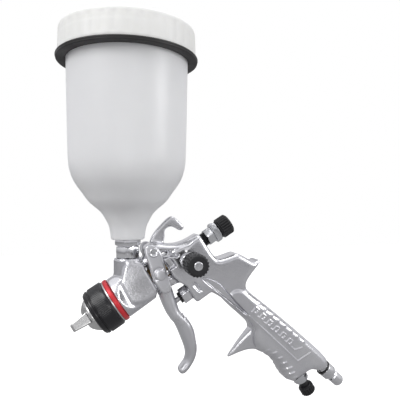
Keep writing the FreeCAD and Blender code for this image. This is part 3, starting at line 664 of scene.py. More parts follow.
FINISHES = {finish.slot: finish for finish in (
    Finish("polished_casting", (0.80, 0.80, 0.82), (0.68, 0.68, 0.71), rough=(0.13, 0.26),
           patch=55, grain=700, relief=0.05, wave=1.4),
    Finish("trigger_casting", (0.76, 0.76, 0.78), (0.66, 0.66, 0.69), rough=(0.24, 0.36),
           patch=60, grain=1100, relief=0.05, run=Grain.UPRIGHT),
    Finish("red_anodised", (0.70, 0.035, 0.045), (0.55, 0.02, 0.03), metal=0.35, rough=(0.3, 0.42),
           grain=1600, relief=0.03, coat=0.2),
    Finish("black_anodised", (0.012, 0.012, 0.014), (0.006, 0.006, 0.008), metal=0.0,
           rough=(0.22, 0.23), grain=1500, relief=0.015),
    Finish("nickel_alloy", (0.66, 0.66, 0.65), (0.54, 0.54, 0.54), rough=(0.2, 0.32),
           grain=1500, relief=0.06),
    Finish("stainless_steel", (0.62, 0.62, 0.63), (0.5, 0.5, 0.52), rough=(0.18, 0.3),
           grain=1800, relief=0.03, run=Grain.LENGTHWISE),
    Finish("chromed_steel", (0.78, 0.78, 0.80), (0.66, 0.67, 0.69), rough=(0.1, 0.2),
           grain=1200, relief=0.02),
    Finish("brass", (0.62, 0.42, 0.2), (0.45, 0.29, 0.13), rough=(0.25, 0.4), grain=1300, relief=0.04),
    Finish("ptfe", (0.88, 0.88, 0.86), (0.8, 0.8, 0.78), metal=0, rough=(0.45, 0.6)),
    Finish("spring_steel", (0.5, 0.5, 0.52), (0.38, 0.38, 0.4), rough=(0.25, 0.4)),
    Finish("black_plated", (0.03, 0.03, 0.033), (0.015, 0.015, 0.017), metal=0.6, rough=(0.25, 0.4)),
    Finish("black_knob", (0.011, 0.011, 0.013), (0.006, 0.006, 0.007), metal=0, rough=(0.36, 0.52),
           grain=1400, relief=0.12),
    Finish("black_rubber", (0.028, 0.027, 0.027), (0.016, 0.015, 0.015), metal=0, rough=(0.42, 0.6),
           grain=900, relief=0.08),
    Finish("cup_polythene", (0.90, 0.905, 0.92), (0.86, 0.865, 0.885), metal=0, rough=(0.3, 0.42),
           patch=14, grain=500, relief=0.03, wave=2.0, inner_glow=0.35),
    Finish("lid_polythene", (0.88, 0.88, 0.86), (0.84, 0.84, 0.81), metal=0, rough=(0.36, 0.5),
           patch=18, grain=700, relief=0.05, inner_glow=0.2),
    Finish("strainer_nylon", (0.8, 0.82, 0.85), (0.7, 0.72, 0.75), metal=0, rough=(0.4, 0.5)),
)}


def publish(piece: bpy.types.Object, name: str, body: str, slot: str, *nodes: str) -> bpy.types.Object:
    """Name, dress and place a finished piece among the frame's bodies.

    Args:
        piece: The finished piece.
        name: The piece's name.
        body: The body that it moves with.
        slot: The material slot that gives its finish.
        nodes: The frame's nodes that it stands for.

    Returns:
        The piece.
    """
    piece.name = name
    piece.data.name = name
    FINISHES[slot].dress(piece)
    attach(piece, body)
    if nodes:
        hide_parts(*nodes)
    LOG.info("%s: %d faces", name, len(piece.data.polygons))
    return piece


# ------------------------------------------------------------------ the gun


@dataclass
class Casting:
    """The cast and polished gun body, with its hook, hand rest, grip and finger guard."""

    places: GunPlaces
    body_half: float = 10.5
    grip_half: float = 12.0
    guard_half: float = 5.4
    hook_half: float = 3.0
    cheek_half: float = 12.5
    cheek_lean: float = 0.065
    flange_radius: float = 16.5
    boss_radius: float = 10.7
    boss_top: float = 25.8
    head_front: float = -9.0
    head_back: float = 19.9
    rail: Corner = (50.7, 19.1)
    voxel: float = 0.72

    def solids(self) -> list[bpy.types.Object]:
        """Make the overlapping solids that flow into one casting."""
        g = self.places
        made = [self.hook(), self.bridge(), self.barrel(), self.cheeks()]
        made.append(turned(g.cup, [
            (0, 0), (0, self.boss_radius), (self.boss_top - 0.9, self.boss_radius),
            (self.boss_top - 0.2, self.boss_radius - 0.8), (self.boss_top - 0.2, 0)], True))
        made.append(pillow(g, flowing([
            (16, -5.6), (34, -5.6), (39.5, -10.6), (38.3, -17.5), (34.6, -15.6), (27.9, -14.6),
            (16, -12.4)], 1), 7.4, 3.4))
        return made + self.rear()

    def bridge(self) -> bpy.types.Object:
        """Make the bridge from the cup's boss over the trigger's pivot to the fluid control."""
        return pillow(self.places, flowing([
            (8, 9), (20, 8.6), (33.5, 9.6), (36, 12.2), (46, 4.9), (67.6, 0), (68, 7.4), (66.6, 7.9),
            (58.6, 8.2), (52, 9.5), (46.5, 12), (41, 16), (36.4, 21), (30, 22.2), (26.8, 21.4),
            (23.4, 15.4), (19, 15.4), (14, 13.6)], 2), 10.3, 5.2)

    def barrel(self) -> bpy.types.Object:
        """Make the head's barrel: round at the flange and flattened on both sides behind it."""
        g = self.places
        front, back, radius = self.head_front, self.head_back, self.flange_radius
        piece = turned(g.needle, [
            (front, 0), (front, radius - 0.5), (front + 0.5, radius)]
            + [(front + 1.5 + i * 1.6, radius - 0.04 * i) for i in range(15)]
            + [(back - 2.4, radius - 3.4), (back, radius - 4.6), (back, 0)], True, 120, edge=0)
        for point in piece.data.vertices:
            reach = (point.co - g.origin).dot(g.back) / MM
            share = max(0.0, min(1.0, (reach - front - 1.4) / 9.5))
            limit = radius - (radius - 10.6) * math.sin(share * math.pi / 2)
            point.co.y = max(-limit * MM, min(limit * MM, point.co.y))
        return piece

    def cheeks(self) -> bpy.types.Object:
        """Make the two flat polished faces that run from the barrel up to the cup's boss."""
        return pillow(self.places, flowing([
            (-3.4, -4.6), (-4.4, 1.7), (-3.2, 7.4), (1.2, 13.2), (6.6, 18.8), (10.4, 20.6), (21, 15.2),
            (19.6, 8), (19.4, -12.2), (11.2, -12), (5, -10.8), (0, -8.4)], 3), self.cheek_half,
            1.5, 0.6, narrow=self.cheek_limit)

    def cheek_limit(self, u: numpy.ndarray, w: numpy.ndarray) -> numpy.ndarray:
        """Lean the two flat faces in a little towards the cup's boss."""
        return self.cheek_half - self.cheek_lean * numpy.clip(w + 10, 0, 26)

    def hook(self) -> bpy.types.Object:
        """Make the flat hanging hook with its beaked end."""
        u, w = self.rail
        inner = 5.0
        turn_in = [math.radians(a) for a in range(168, 20, -12)]
        outline = [
            (u + 11.3, w - 1.6), (u + 10.3, w + 4.5), (u + 8.6, w + 9.6), (u + 7.2, w + 10.9),
            (u + 3.6, w + 11.1), (u - 2.2, w + 9.9), (u - 9.6, w + 7.9), (u - 15, w + 5.2),
            (u - 18.6, w + 1.6), (u - 21, w - 3), (u - 12, w - 8), (u - 9.6, w - 4)]
        outline += [(u + inner * math.cos(a), w + inner * math.sin(a)) for a in turn_in]
        outline += [(u + 5.4, w + 0.6), (u + 6.8, w - 2.3), (u + 9.3, w - 3)]
        return plate(self.places, flowing(outline, 1), self.hook_half, edge=0.9)

    def rear(self) -> list[bpy.types.Object]:
        """Make the valve block, the hand rest, the grip and the finger guard."""
        g = self.places
        block = plate(g, [
            (33.6, 8.6), (33.6, -9), (35.6, -15.2), (38.3, -20), (38.3, -35.4), (51.9, -35.4),
            (60, -30), (67.6, -8), (67.8, 4.8)], self.body_half, edge=1.2, segments=4)
        rest = pillow(g, flowing([
            (46, -20), (48, 4), (58, 7.4), (68, 7.6), (67.9, 3), (68.2, -8), (68.9, -14.6),
            (70.2, -17.6), (76.7, -19.8), (84.6, -21.7), (85.7, -22.6), (88, -26.2), (92.9, -35.6),
            (94.2, -36.6), (98.3, -36.6), (98.9, -38), (96.2, -39.4), (84.9, -42.9), (79.5, -45.3),
            (76.9, -48.3), (76.6, -52), (78.4, -58), (82.6, -70), (66, -78.6), (61.7, -63.6),
            (58.4, -50), (55.4, -42), (51.4, -34.6), (46, -31)], 1), self.body_half + 0.6, 3.6)
        grip = pillow(g, flowing([
            (57, -44), (66, -40), (74, -44), (76.8, -50), (78.2, -56.6), (82.4, -68), (89.5, -89.6),
            (96.3, -112.2), (100.6, -127), (102.6, -136), (103, -141), (101.6, -144.4), (99, -146.2),
            (93.6, -145), (90.6, -142), (88, -139.2), (85.3, -137.8), (74, -137.6), (70.4, -137.8),
            (67.6, -135), (65.8, -131), (65.4, -126), (66.2, -120), (65.8, -114), (63.8, -107),
            (60, -99.6), (58, -92), (61, -85), (65, -79.4), (64.4, -74.5), (61.4, -63.6),
            (58.6, -54)], 2), self.grip_half, 6.2)
        guard = pillow(g, [
            (70, -77.6), (64.2, -80.6), (50.1, -84), (37.2, -87.8), (35.9, -88.6), (36.1, -89.8),
            (44.8, -91.3), (51, -92.9), (55.6, -95.2), (59.4, -98.6), (62, -104), (72, -102)],
            self.guard_half, 1.3, 0.7, narrow=self.guard_limit)
        return [block, rest, grip, guard]

    def guard_limit(self, u: numpy.ndarray, w: numpy.ndarray) -> numpy.ndarray:
        """Narrow the finger guard towards its tip."""
        return numpy.clip(1.7 + (u - 36) * 0.15 + (w + 89) * 0.02, 1.5, self.guard_half)

    def cutters(self) -> list[bpy.types.Object]:
        """Make the shapes of the passages, the window and the grooves."""
        g = self.places
        made = [turned(g.needle, [(-12, 0), (-12, 12.2), (-4.4, 12.2), (-4.4, 5.95), (18, 5.95),
                                  (18, 4.2), (22, 4.2), (22, 0)], True, edge=0)]
        made.append(turned(g.needle, [(31, 0), (31, 4.8), (59, 4.8), (59, 6.2), (72, 6.2), (72, 0)],
                           True, edge=0))
        made.append(turned(g.cup, [(8, 0), (8, 6.25), (30, 6.25), (30, 0)], True, edge=0))
        made.append(turned(g.valve(27.3), [(36, 0), (36, 5.95), (52, 5.95), (52, 0)], True, edge=0))
        made.append(turned(g.sideways(g.pivot), [(-20, 0), (-20, 3.35), (20, 3.35), (20, 0)], True,
                           edge=0))
        made.append(turned(g.knob_side, [(5.8, 0), (5.8, 4.15), (20, 4.15), (20, 0)], True, edge=0))
        made.append(turned(g.regulator, [(126, 0), (126, 5.05), (142, 5.05), (142, 0)], True, edge=0))
        made.append(turned(g.inlet(), [(-12, 0), (-12, 5.15), (6, 5.15), (6, 0)], True, edge=0))
        for side in (-1, 1):
            made.append(plate(g, [(34.2, 4.1), (40.2, 4.1), (40.2, -2.9), (34.2, -2.9)], 5, 11 * side,
                              edge=0.4))
            made.append(plate(g, flowing([
                (33.6, 11.4), (37.2, 11.6), (47, 4.2), (44.2, 1.6), (41.2, 5.4), (34.4, 7)], 1), 6.4,
                12 * side))
            made.append(plate(g, flowing([
                (50.6, -20.6), (54.6, -23.4), (58, -28), (61, -33.6), (62.2, -39.2), (62.6, -45),
                (64.4, -55.4), (67, -67), (65.4, -67.4), (60.8, -53), (58.4, -45.4), (56, -38.4),
                (53.4, -30.4)], 2), 5.2, (self.body_half + 1.4) * side, edge=0))
            made.append(plate(g, flowing([(42.4, -20), (46, -21), (46.6, -30), (43.4, -30)], 1), 4,
                              (self.body_half + 2.2) * side))
        return made

    def emboss(self, casting: bpy.types.Object) -> None:
        """Raise the grip's two panel lines, its rows of pads and its ribbed lower lobe.

        Args:
            casting: The finished casting.
        """
        g = self.places
        outer = [(66.6, -68.4), (80.2, -122.8), (92.4, -123.8), (80.2, -122.8)]
        inner = [(70.0, -66.4), (82.9, -113.6), (89.0, -115.9), (82.9, -113.6)]
        marks = [(outer, 1.05, 0.55), (inner, 1.05, 0.55)]
        for i in range(6):
            u, w = 73.2 + i * 1.97, -67.7 - i * 7.55
            pad = [(u - 2.2, w + 1.2), (u + 1.4, w + 2.2), (u + 2.3, w - 1.2), (u - 1.3, w - 2.2)]
            marks.append((pad, 1.0, 0.6))
        for i in range(8):
            marks.append(([(79.0 + i * 2.0, -64.6 - i * 6.9)] * 2, 2.2, 0.4))
        for u, w in ((61.8, -99.5), (65.4, -104.6), (67.0, -110.8), (68.0, -116.6), (69.4, -122.6),
                     (69.2, -127.6), (68.8, -132)):
            marks.append(([(u - 2.6, w + 0.8), (u + 3.6, w - 1.2)], 1.9, 0.6))
        count = len(casting.data.vertices)
        points, normals = numpy.empty(count * 3), numpy.empty(count * 3)
        casting.data.vertices.foreach_get("co", points)
        casting.data.vertices.foreach_get("normal", normals)
        points, normals = points.reshape(-1, 3), normals.reshape(-1, 3)
        arm = (points - numpy.array(g.origin)) / MM
        side_view = numpy.stack([arm @ numpy.array(g.back), arm @ numpy.array(g.up)], 1)
        rise = numpy.zeros(count)
        for line, reach, height in marks:
            share = numpy.clip(1 - distance_to_outline(side_view, line) / reach, 0, 1)
            rise = numpy.maximum(rise, height * share * share * (3 - 2 * share))
        points += normals * rise[:, None] * MM
        casting.data.vertices.foreach_set("co", points.ravel())
        casting.data.update()

    def build(self) -> None:
        """Build the casting and publish it for the frame's gun body."""
        casting = joined("casting", self.solids())
        melt(casting, self.voxel, 3)
        carve(casting, self.cutters())
        melt(casting, self.voxel * 0.85, 4)
        self.emboss(casting)
        publish(casting, "gun_casting", "gun", "polished_casting", "gun_body")


@dataclass
class Trigger:
    """The curved two-armed trigger with its screw and the bar that draws the needle."""

    places: GunPlaces
    inner: float = 12.8
    wall: float = 2.3
    boss: Corner = (26.0, 0.0)
    voxel: float = 0.5

    def build(self) -> None:
        """Build the trigger and its fastenings and publish them."""
        g = self.places
        outer = self.inner + self.wall
        arms = pillow(g, flowing([
            (23.9, 13.4), (24.6, 19.4), (27.2, 22.8), (30.2, 23.4), (32.8, 22.4), (35.4, 18.4),
            (35.8, 13.2), (33.8, 7.3), (31.6, -1.1), (29.8, -7), (27.6, -16), (20, -14), (19.8, -5),
            (19.8, 0), (21.4, 5.6)], 2), outer, 1.3, 0.55)
        blade = pillow(g, flowing([
            (20.2, 3), (30.6, 3), (30.2, -6.6), (28.2, -15.1), (26, -24.5), (23.9, -32.2),
            (24.8, -37.3), (26.2, -43), (26.4, -49.6), (24.6, -56.6), (21, -65), (17.6, -70.4),
            (12.6, -74.4), (6.6, -77.4), (1.6, -78.6), (-1.4, -76.8), (-1.4, -72.6), (3.4, -71.0),
            (7.5, -69.6), (10.2, -66.9), (12.2, -62.6), (13.6, -55.6), (15.2, -47.4), (16, -40.1),
            (14.9, -34.6), (15.2, -30.4), (16.8, -20), (19.5, -12), (19.8, -3.2)], 2),
            outer - 0.5, 4.8, 0.6, narrow=self.blade_limit)
        carve(blade, self.hollows())
        carve(arms, [plate(g, [(0, 30), (60, 30), (60, -30), (0, -30)], self.inner)])
        for side in (-1, 1):
            carve(arms, [self.crescent(side, outer)])
        trigger = joined("trigger", [blade, arms])
        melt(trigger, self.voxel, 4)
        publish(trigger, "trigger_blade", "trigger", "trigger_casting", "trigger")
        self.fastenings(outer)

    def blade_limit(self, u: numpy.ndarray, w: numpy.ndarray) -> numpy.ndarray:
        """Narrow the blade from its arms to its tip, with soft shoulders at its front."""
        heights = [-80, -74, -62, -44, -34, -20, -13, -6]
        halves = [4.6, 6.4, 8.2, 9.6, 11.3, 11.8, 12.6, 15.0]
        return numpy.interp(w, heights, halves)

    def hollows(self) -> list[bpy.types.Object]:
        """Make the shapes that hollow the blade out from behind."""
        g = self.places
        return [
            plate(g, [(0, 30), (60, 30), (60, -6), (0, -16.5)], self.inner, edge=1.2),
            plate(g, flowing([
                (8, -5), (45, -5), (45, -41), (19.6, -41), (19.9, -30.4), (20.1, -20), (19.2, -16.4),
                (8, -16.2)], 1), self.inner - 4, edge=1.0),
            plate(g, [
                (18.6, -35), (45, -35), (45, -66), (19.8, -63), (16.8, -55.6), (18.4, -47.4),
                (19.3, -40.1)], 5.5, edge=1.0),
            turned(g.sideways(g.pivot), [(-20, 0), (-20, 3.3), (20, 3.3), (20, 0)], True, edge=0),
        ]

    def crescent(self, side: int, outer: float) -> bpy.types.Object:
        """Make the cutter of the curved step above the needle bar's boss.

        Args:
            side: -1 for the near side and 1 for the far side.
            outer: Half the width over the trigger's arms.

        Returns:
            The cutter.
        """
        u, w = self.boss
        rim = [math.radians(a) for a in range(30, 216, 15)]
        corners = [(u + 5.4 * math.cos(a), w + 5.4 * math.sin(a)) for a in rim]
        corners += [(u + 4.0 * math.cos(a), w + 4.0 * math.sin(a)) for a in rim[::-1]]
        return plate(self.places, corners, 1.2, (outer + 0.1) * side)

    def fastenings(self, outer: float) -> None:
        """Build the pivot screw and the caps of the needle bar."""
        g = self.places
        pivot = g.sideways(g.pivot)
        head = outer + 0.2
        screw = turned(pivot, [
            (-head, 0), (-head, 2.4), (head - 0.1, 2.4), (head - 0.1, 3.6), (head + 1.1, 3.6),
            (head + 1.7, 3.1), (head + 1.7, 2.5), (head + 1.3, 2.2), (head + 1.3, 0)], True, 48)
        publish(screw, "pivot_screw_head", "gun", "chromed_steel", "pivot_screw")
        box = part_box("driver_bar_caps")
        middle = (Vector(box[0]) + Vector(box[1])) / 2
        bar = g.sideways(middle)
        caps = []
        for side in (-1, 1):
            caps.append(turned(bar, [
                (side * (outer - 1), 0), (side * (outer - 1), 3.9), (side * (outer + 0.3), 3.9),
                (side * (outer + 0.8), 3.3), (side * (outer + 0.85), 0)], True, 48))
        publish(joined("caps", caps), "needle_bar_caps", "trigger", "trigger_casting",
                "driver_bar_caps")


@dataclass
class SprayHead:
    """The red ring, the black retaining ring and the air cap with its horns."""

    places: GunPlaces
    back: float = -13.42
    front: float = -29.12
    radius: float = 18.0
    inside: float = 15.0
    knurls: int = 90
    cap_turn: float = 14.0

    def build(self) -> None:
        """Build the head's visible pieces and publish them."""
        axis = self.places.needle
        ring = turned(axis, [
            (-12.32, 12.7), (-9.02, 12.7), (-9.02, 16.7), (-9.5, 17.2), (-11.85, 17.2), (-12.32, 16.7),
        ], steps=120)
        publish(ring, "red_band", "gun", "red_anodised", "red_ring")
        self.retaining_ring(axis)
        self.cap(axis)

    def retaining_ring(self, axis: Axis) -> None:
        """Build the knurled ring with its two raised front bands."""
        front, back, radius = self.front, self.back, self.radius
        corners = [
            (back, self.inside), (front + 1.8, self.inside), (front + 1.8, self.inside - 1.9),
            (front, self.inside - 1.9), (front, radius - 2.2), (front + 1.0, radius - 1.0),
            (front + 1.9, radius - 1.0), (front + 2.2, radius - 0.4), (front + 3.6, radius - 0.4),
            (front + 3.8, radius - 1.1), (front + 4.5, radius - 1.1), (front + 4.8, radius)]
        knurled = [(front + 5.0 + i * 0.85, radius) for i in range(11)]
        corners += knurled + [(back - 0.9, radius), (back, radius - 0.9)]
        ring = turned(axis, corners, steps=360, edge=0.18)
        fluted(ring, axis, (knurled[0][0] + 0.5, knurled[-1][0] - 0.5), radius - 0.2, self.knurls, 0.14)
        publish(ring, "retaining_ring_knurled", "ring", "black_anodised", "retaining_ring")

    def cap(self, axis: Axis) -> None:
        """Build the air cap's dome, its two horns and their holes."""
        g = self.places
        face, tip = -36.1, -46.1
        dome = turned(axis, curved([
            (face, 2.7), (face, 6.4), (face + 0.7, 8.2), (face + 3.2, 11), (face + 5.6, 12.9)], 4)
            + [(-27.4, 12.9), (-27.3, 14.7), (-24.2, 14.7), (-24.2, 11.4), (-28.2, 10.6),
               (face + 3.4, 6.4), (face + 1.6, 2.7)], steps=96, edge=0.1)
        horns = []
        for side in (-1, 1):
            horns.append(self.horn(g, face, tip, side))
        across = Matrix.Rotation(math.radians(-self.cap_turn), 3, g.back) @ ACROSS
        up = Matrix.Rotation(math.radians(-self.cap_turn), 3, g.back) @ g.up
        cap = joined("cap", [dome] + horns)
        melt(cap, 0.34, 5)
        drills = [turned(axis, [(face - 1, 0), (face - 1, 2.7), (face + 2.6, 2.7), (face + 2.6, 0)],
                         True, 40, edge=0)]
        for side in (-1, 1):
            for reach, aim in ((tip + 2.6, 0.55), (tip + 5.4, 0.75)):
                jet = Axis(g.spot(reach, 0, 0) + across * side * 10.4 * MM,
                           (-side * across).lerp(g.back, aim * 0.5).normalized(), up)
                drills.append(turned(jet, [(-0.4, 0), (-0.4, 0.75), (4, 0.75), (4, 0)], True, 16, edge=0))
            for turn in (-35, 35):
                spot = axis.at(face - 1, 5.0 * side, math.radians(turn - self.cap_turn))
                hole = Axis(spot, g.back, g.up)
                drills.append(turned(hole, [(0, 0), (0, 0.5), (2.6, 0.5), (2.6, 0)], True, 16, edge=0))
        carve(cap, drills)
        publish(shade(cap, 40), "air_cap_horned", "cap", "nickel_alloy", "air_cap")

    def horn(self, g: GunPlaces, face: float, tip: float, side: int) -> bpy.types.Object:
        """Make one horn, narrower at its tip.

        Args:
            g: The gun's directions.
            face: Where the cap's face lies along the needle.
            tip: Where the horn ends along the needle.
            side: -1 for the near side and 1 for the far side.

        Returns:
            The horn.
        """
        corners = [(face + 2.5, 6.4), (face, 6.8), (tip + 0.2, 9.4), (tip, 11), (tip + 1.2, 12.6),
                   (face + 4.5, 12.8)]
        deselect()
        bpy.ops.mesh.primitive_circle_add(vertices=len(corners), fill_type="NGON")
        piece = bpy.context.object
        for point, (u, v) in zip(piece.data.vertices, corners):
            point.co = g.spot(u, v * side, -3.0)
        shift = g.up * 6.0 * MM
        in_edit(piece, [
            lambda: bpy.ops.mesh.extrude_region_move(TRANSFORM_OT_translate={"value": shift}),
            lambda: bpy.ops.mesh.normals_make_consistent(inside=False),
        ])
        for point in piece.data.vertices:
            reach = (point.co - g.origin).dot(g.back) / MM
            height = (point.co - g.origin).dot(g.up)
            share = max(0.0, min(1.0, (reach - tip) / (face + 4.5 - tip)))
            point.co += g.up * height * (share * 0.55 - 0.05)
            roll = Matrix.Rotation(math.radians(-self.cap_turn), 3, g.back)
            point.co = g.origin + roll @ (point.co - g.origin)
        soften(piece, 0.9, 4, angle=40)
        return piece


@dataclass
class Controls:
    """The knobs, nuts and plugs that are set into the casting."""

    places: GunPlaces
    valve_drop: float = 27.3

    def build(self) -> None:
        """Build every control and publish it."""
        self.fluid()
        self.pattern()
        self.valve()
        self.inlet()
        self.regulator()

    def knob(self, axis: Axis, start: float, end: float, radius: float, bore: float, depth: float,
             teeth: int, cup: float = 0.0) -> bpy.types.Object:
        """Make a knob with a short waist, a fluted grip and a chamfered end.

        Args:
            axis: The knob's axis.
            start: Where it starts along the axis.
            end: Where it ends.
            radius: The radius of its grip.
            bore: The radius of the hole for its screw.
            depth: Where that hole ends along the axis.
            teeth: How many flutes the grip has.
            cup: The radius of a recess in its end, or 0 for none.

        Returns:
            The knob.
        """
        grip = [start + 1.7 + i * (end - start - 3.0) / 8 for i in range(9)]
        corners = [(depth, 0), (depth, bore), (start, bore), (start, radius - 1.1),
                   (start + 1.0, radius - 1.1), (start + 1.3, radius - 0.1)]
        corners += [(reach, radius) for reach in grip]
        corners += [(end - 0.9, radius - 0.2), (end, radius - 1.4)]
        if cup:
            corners += [(end, cup), (end - 1.15, cup), (end - 1.15, 0)]
        else:
            corners += [(end, radius - 3.0), (end - 0.5, radius - 3.4), (end - 0.5, 0)]
        made = turned(axis, corners, True, teeth * 8, edge=0.16)
        fluted(made, axis, (grip[0] - 0.2, end - 0.4), radius - 0.6, teeth, 0.75)
        return shade(made, 38)

    def fluid(self) -> None:
        """Build the threaded housing, the stepped lock nut and the fluid knob."""
        axis = self.places.needle
        back = 67.9
        housing = turned(axis, [(back - 6.5, 3.15), (back + 14, 3.15), (back + 14, 4.2),
                                (back + 4.2, 4.2)] + thread(back + 0.1, back + 4.2, 5.4)[::-1]
                         + [(back, 5.9), (back - 6.5, 5.9)], steps=72, edge=0.08)
        publish(housing, "fluid_housing_threaded", "gun", "black_plated", "fluid_housing")
        nut = hexagon(axis, back + 4.3, back + 10.4, 7.1, 4.25, turn=18)
        skirt = hexagon(axis, back + 10.5, back + 15.2, 8.4, 4.25, turn=4)
        publish(joined("nut", [nut, skirt]), "fluid_lock_nut_stepped", "gun", "chromed_steel",
                "fluid_lock_nut")
        publish(self.knob(axis, 84.0, 94.5, 8.2, 3.05, 91.1, 24), "fluid_knob_fluted", "fluid_dial",
                "black_knob", "fluid_knob")

    def pattern(self) -> None:
        """Build the side knob, its chromed housing and its slotted screw."""
        axis = self.places.knob_side
        housing = turned(axis, [
            (6.3, 2.65), (20, 2.65), (20, 5.2), (15.6, 5.4), (14.6, 6.0), (14, 6.8), (10.7, 6.8),
            (10.7, 4.0), (6.3, 4.0)], steps=72)
        publish(housing, "pattern_housing_turned", "gun", "chromed_steel", "pattern_housing")
        publish(self.knob(axis, 21, 38, 8.3, 2.55, 30.1, 20, cup=3.35), "pattern_knob_fluted",
                "pattern_dial", "black_knob", "pattern_knob")
        screw = turned(axis, [(36.85, 0), (36.85, 3.2), (38.4, 3.2), (38.7, 2.8), (38.7, 0)], True, 48,
                       edge=0.1)
        slots = []
        for turn in (20, 110):
            slots.append(self.slot(axis, 38.2, 2.2, turn))
        carve(screw, slots)
        publish(shade(screw), "pattern_knob_screw_crossed", "pattern_dial", "chromed_steel",
                "pattern_knob_screw")

    def slot(self, axis: Axis, floor: float, reach: float, turn: float) -> bpy.types.Object:
        """Make the cutter of one driver slot.

        Args:
            axis: The screw's axis.
            floor: Where the slot's floor lies along the axis.
            reach: Half the slot's length.
            turn: Its turn about the axis in degrees.

        Returns:
            The cutter.
        """
        deselect()
        bpy.ops.mesh.primitive_circle_add(vertices=4, fill_type="NGON")
        piece = bpy.context.object
        along = math.radians(turn)
        for point, (a, b) in zip(piece.data.vertices, [(-1, -1), (1, -1), (1, 1), (-1, 1)]):
            middle = axis.at(floor, a * reach, along) - axis.origin
            point.co = axis.at(0, b * 0.35, along + math.pi / 2) + middle
        shift = axis.along * 3 * MM
        in_edit(piece, [
            lambda: bpy.ops.mesh.extrude_region_move(TRANSFORM_OT_translate={"value": shift}),
            lambda: bpy.ops.mesh.normals_make_consistent(inside=False),
        ])
        return piece

    def valve(self) -> None:
        """Build the air valve's nut and its black gland."""
        axis = self.places.valve(self.valve_drop)
        nut = hexagon(axis, 31.3, 38.25, 7.0, 2.15, turn=10)
        shank = turned(axis, [(38.2, 2.15), (45.3, 2.15), (45.3, 5.8), (38.2, 5.8)], steps=48)
        publish(joined("valve", [nut, shank]), "valve_nut_hexagon", "gun", "chromed_steel", "valve_nut")
        gland = turned(axis, [(29.3, 2.05), (31.25, 2.05), (31.25, 4.5), (29.3, 4.5)], steps=120,
                       edge=0.15)
        fluted(gland, axis, (29, 32), 4.2, 10, 0.7)
        publish(shade(gland, 38), "valve_gland_notched", "gun", "black_knob", "valve_gland")

    def inlet(self) -> None:
        """Build the quick-connect plug."""
        axis = self.places.inlet()
        plug = turned(axis, [
            (-8.5, 2.6), (22.5, 2.6), (22.5, 3.9), (21.1, 4.9), (13.9, 4.9), (13.5, 4.6), (13.1, 3.9),
            (10.9, 3.8), (10.5, 4.2), (10.2, 6.0), (9.6, 6.2), (3.4, 6.2), (2.85, 5.7), (2.85, 5.0),
            (-8.5, 5.0)], steps=96)
        publish(plug, "air_plug_turned", "gun", "chromed_steel", "air_inlet_plug")

    def regulator(self) -> None:
        """Build the air regulator's nut and knob."""
        axis = self.places.regulator
        base = 138.0
        nut = hexagon(axis, base + 0.1, base + 7, 6.4, 2.65, turn=14)
        shank = turned(axis, [(base - 9, 2.65), (base + 0.2, 2.65), (base + 0.2, 4.85),
                              (base - 9, 4.85)], steps=48)
        publish(joined("regulator", [nut, shank]), "regulator_nut_hexagon", "gun", "chromed_steel",
                "regulator_nut")
        start = base + 8.2
        neck = turned(axis, [(start, 2.55), (start + 3.8, 2.55), (start + 3.8, 4.1), (start, 4.1)],
                      steps=48)
        knob = self.knob(axis, start + 3.6, start + 11.6, 6.2, 2.55, start + 7.7, 18)
        publish(joined("dial", [neck, knob]), "regulator_knob_fluted", "regulator_dial", "black_knob",
                "regulator_knob")


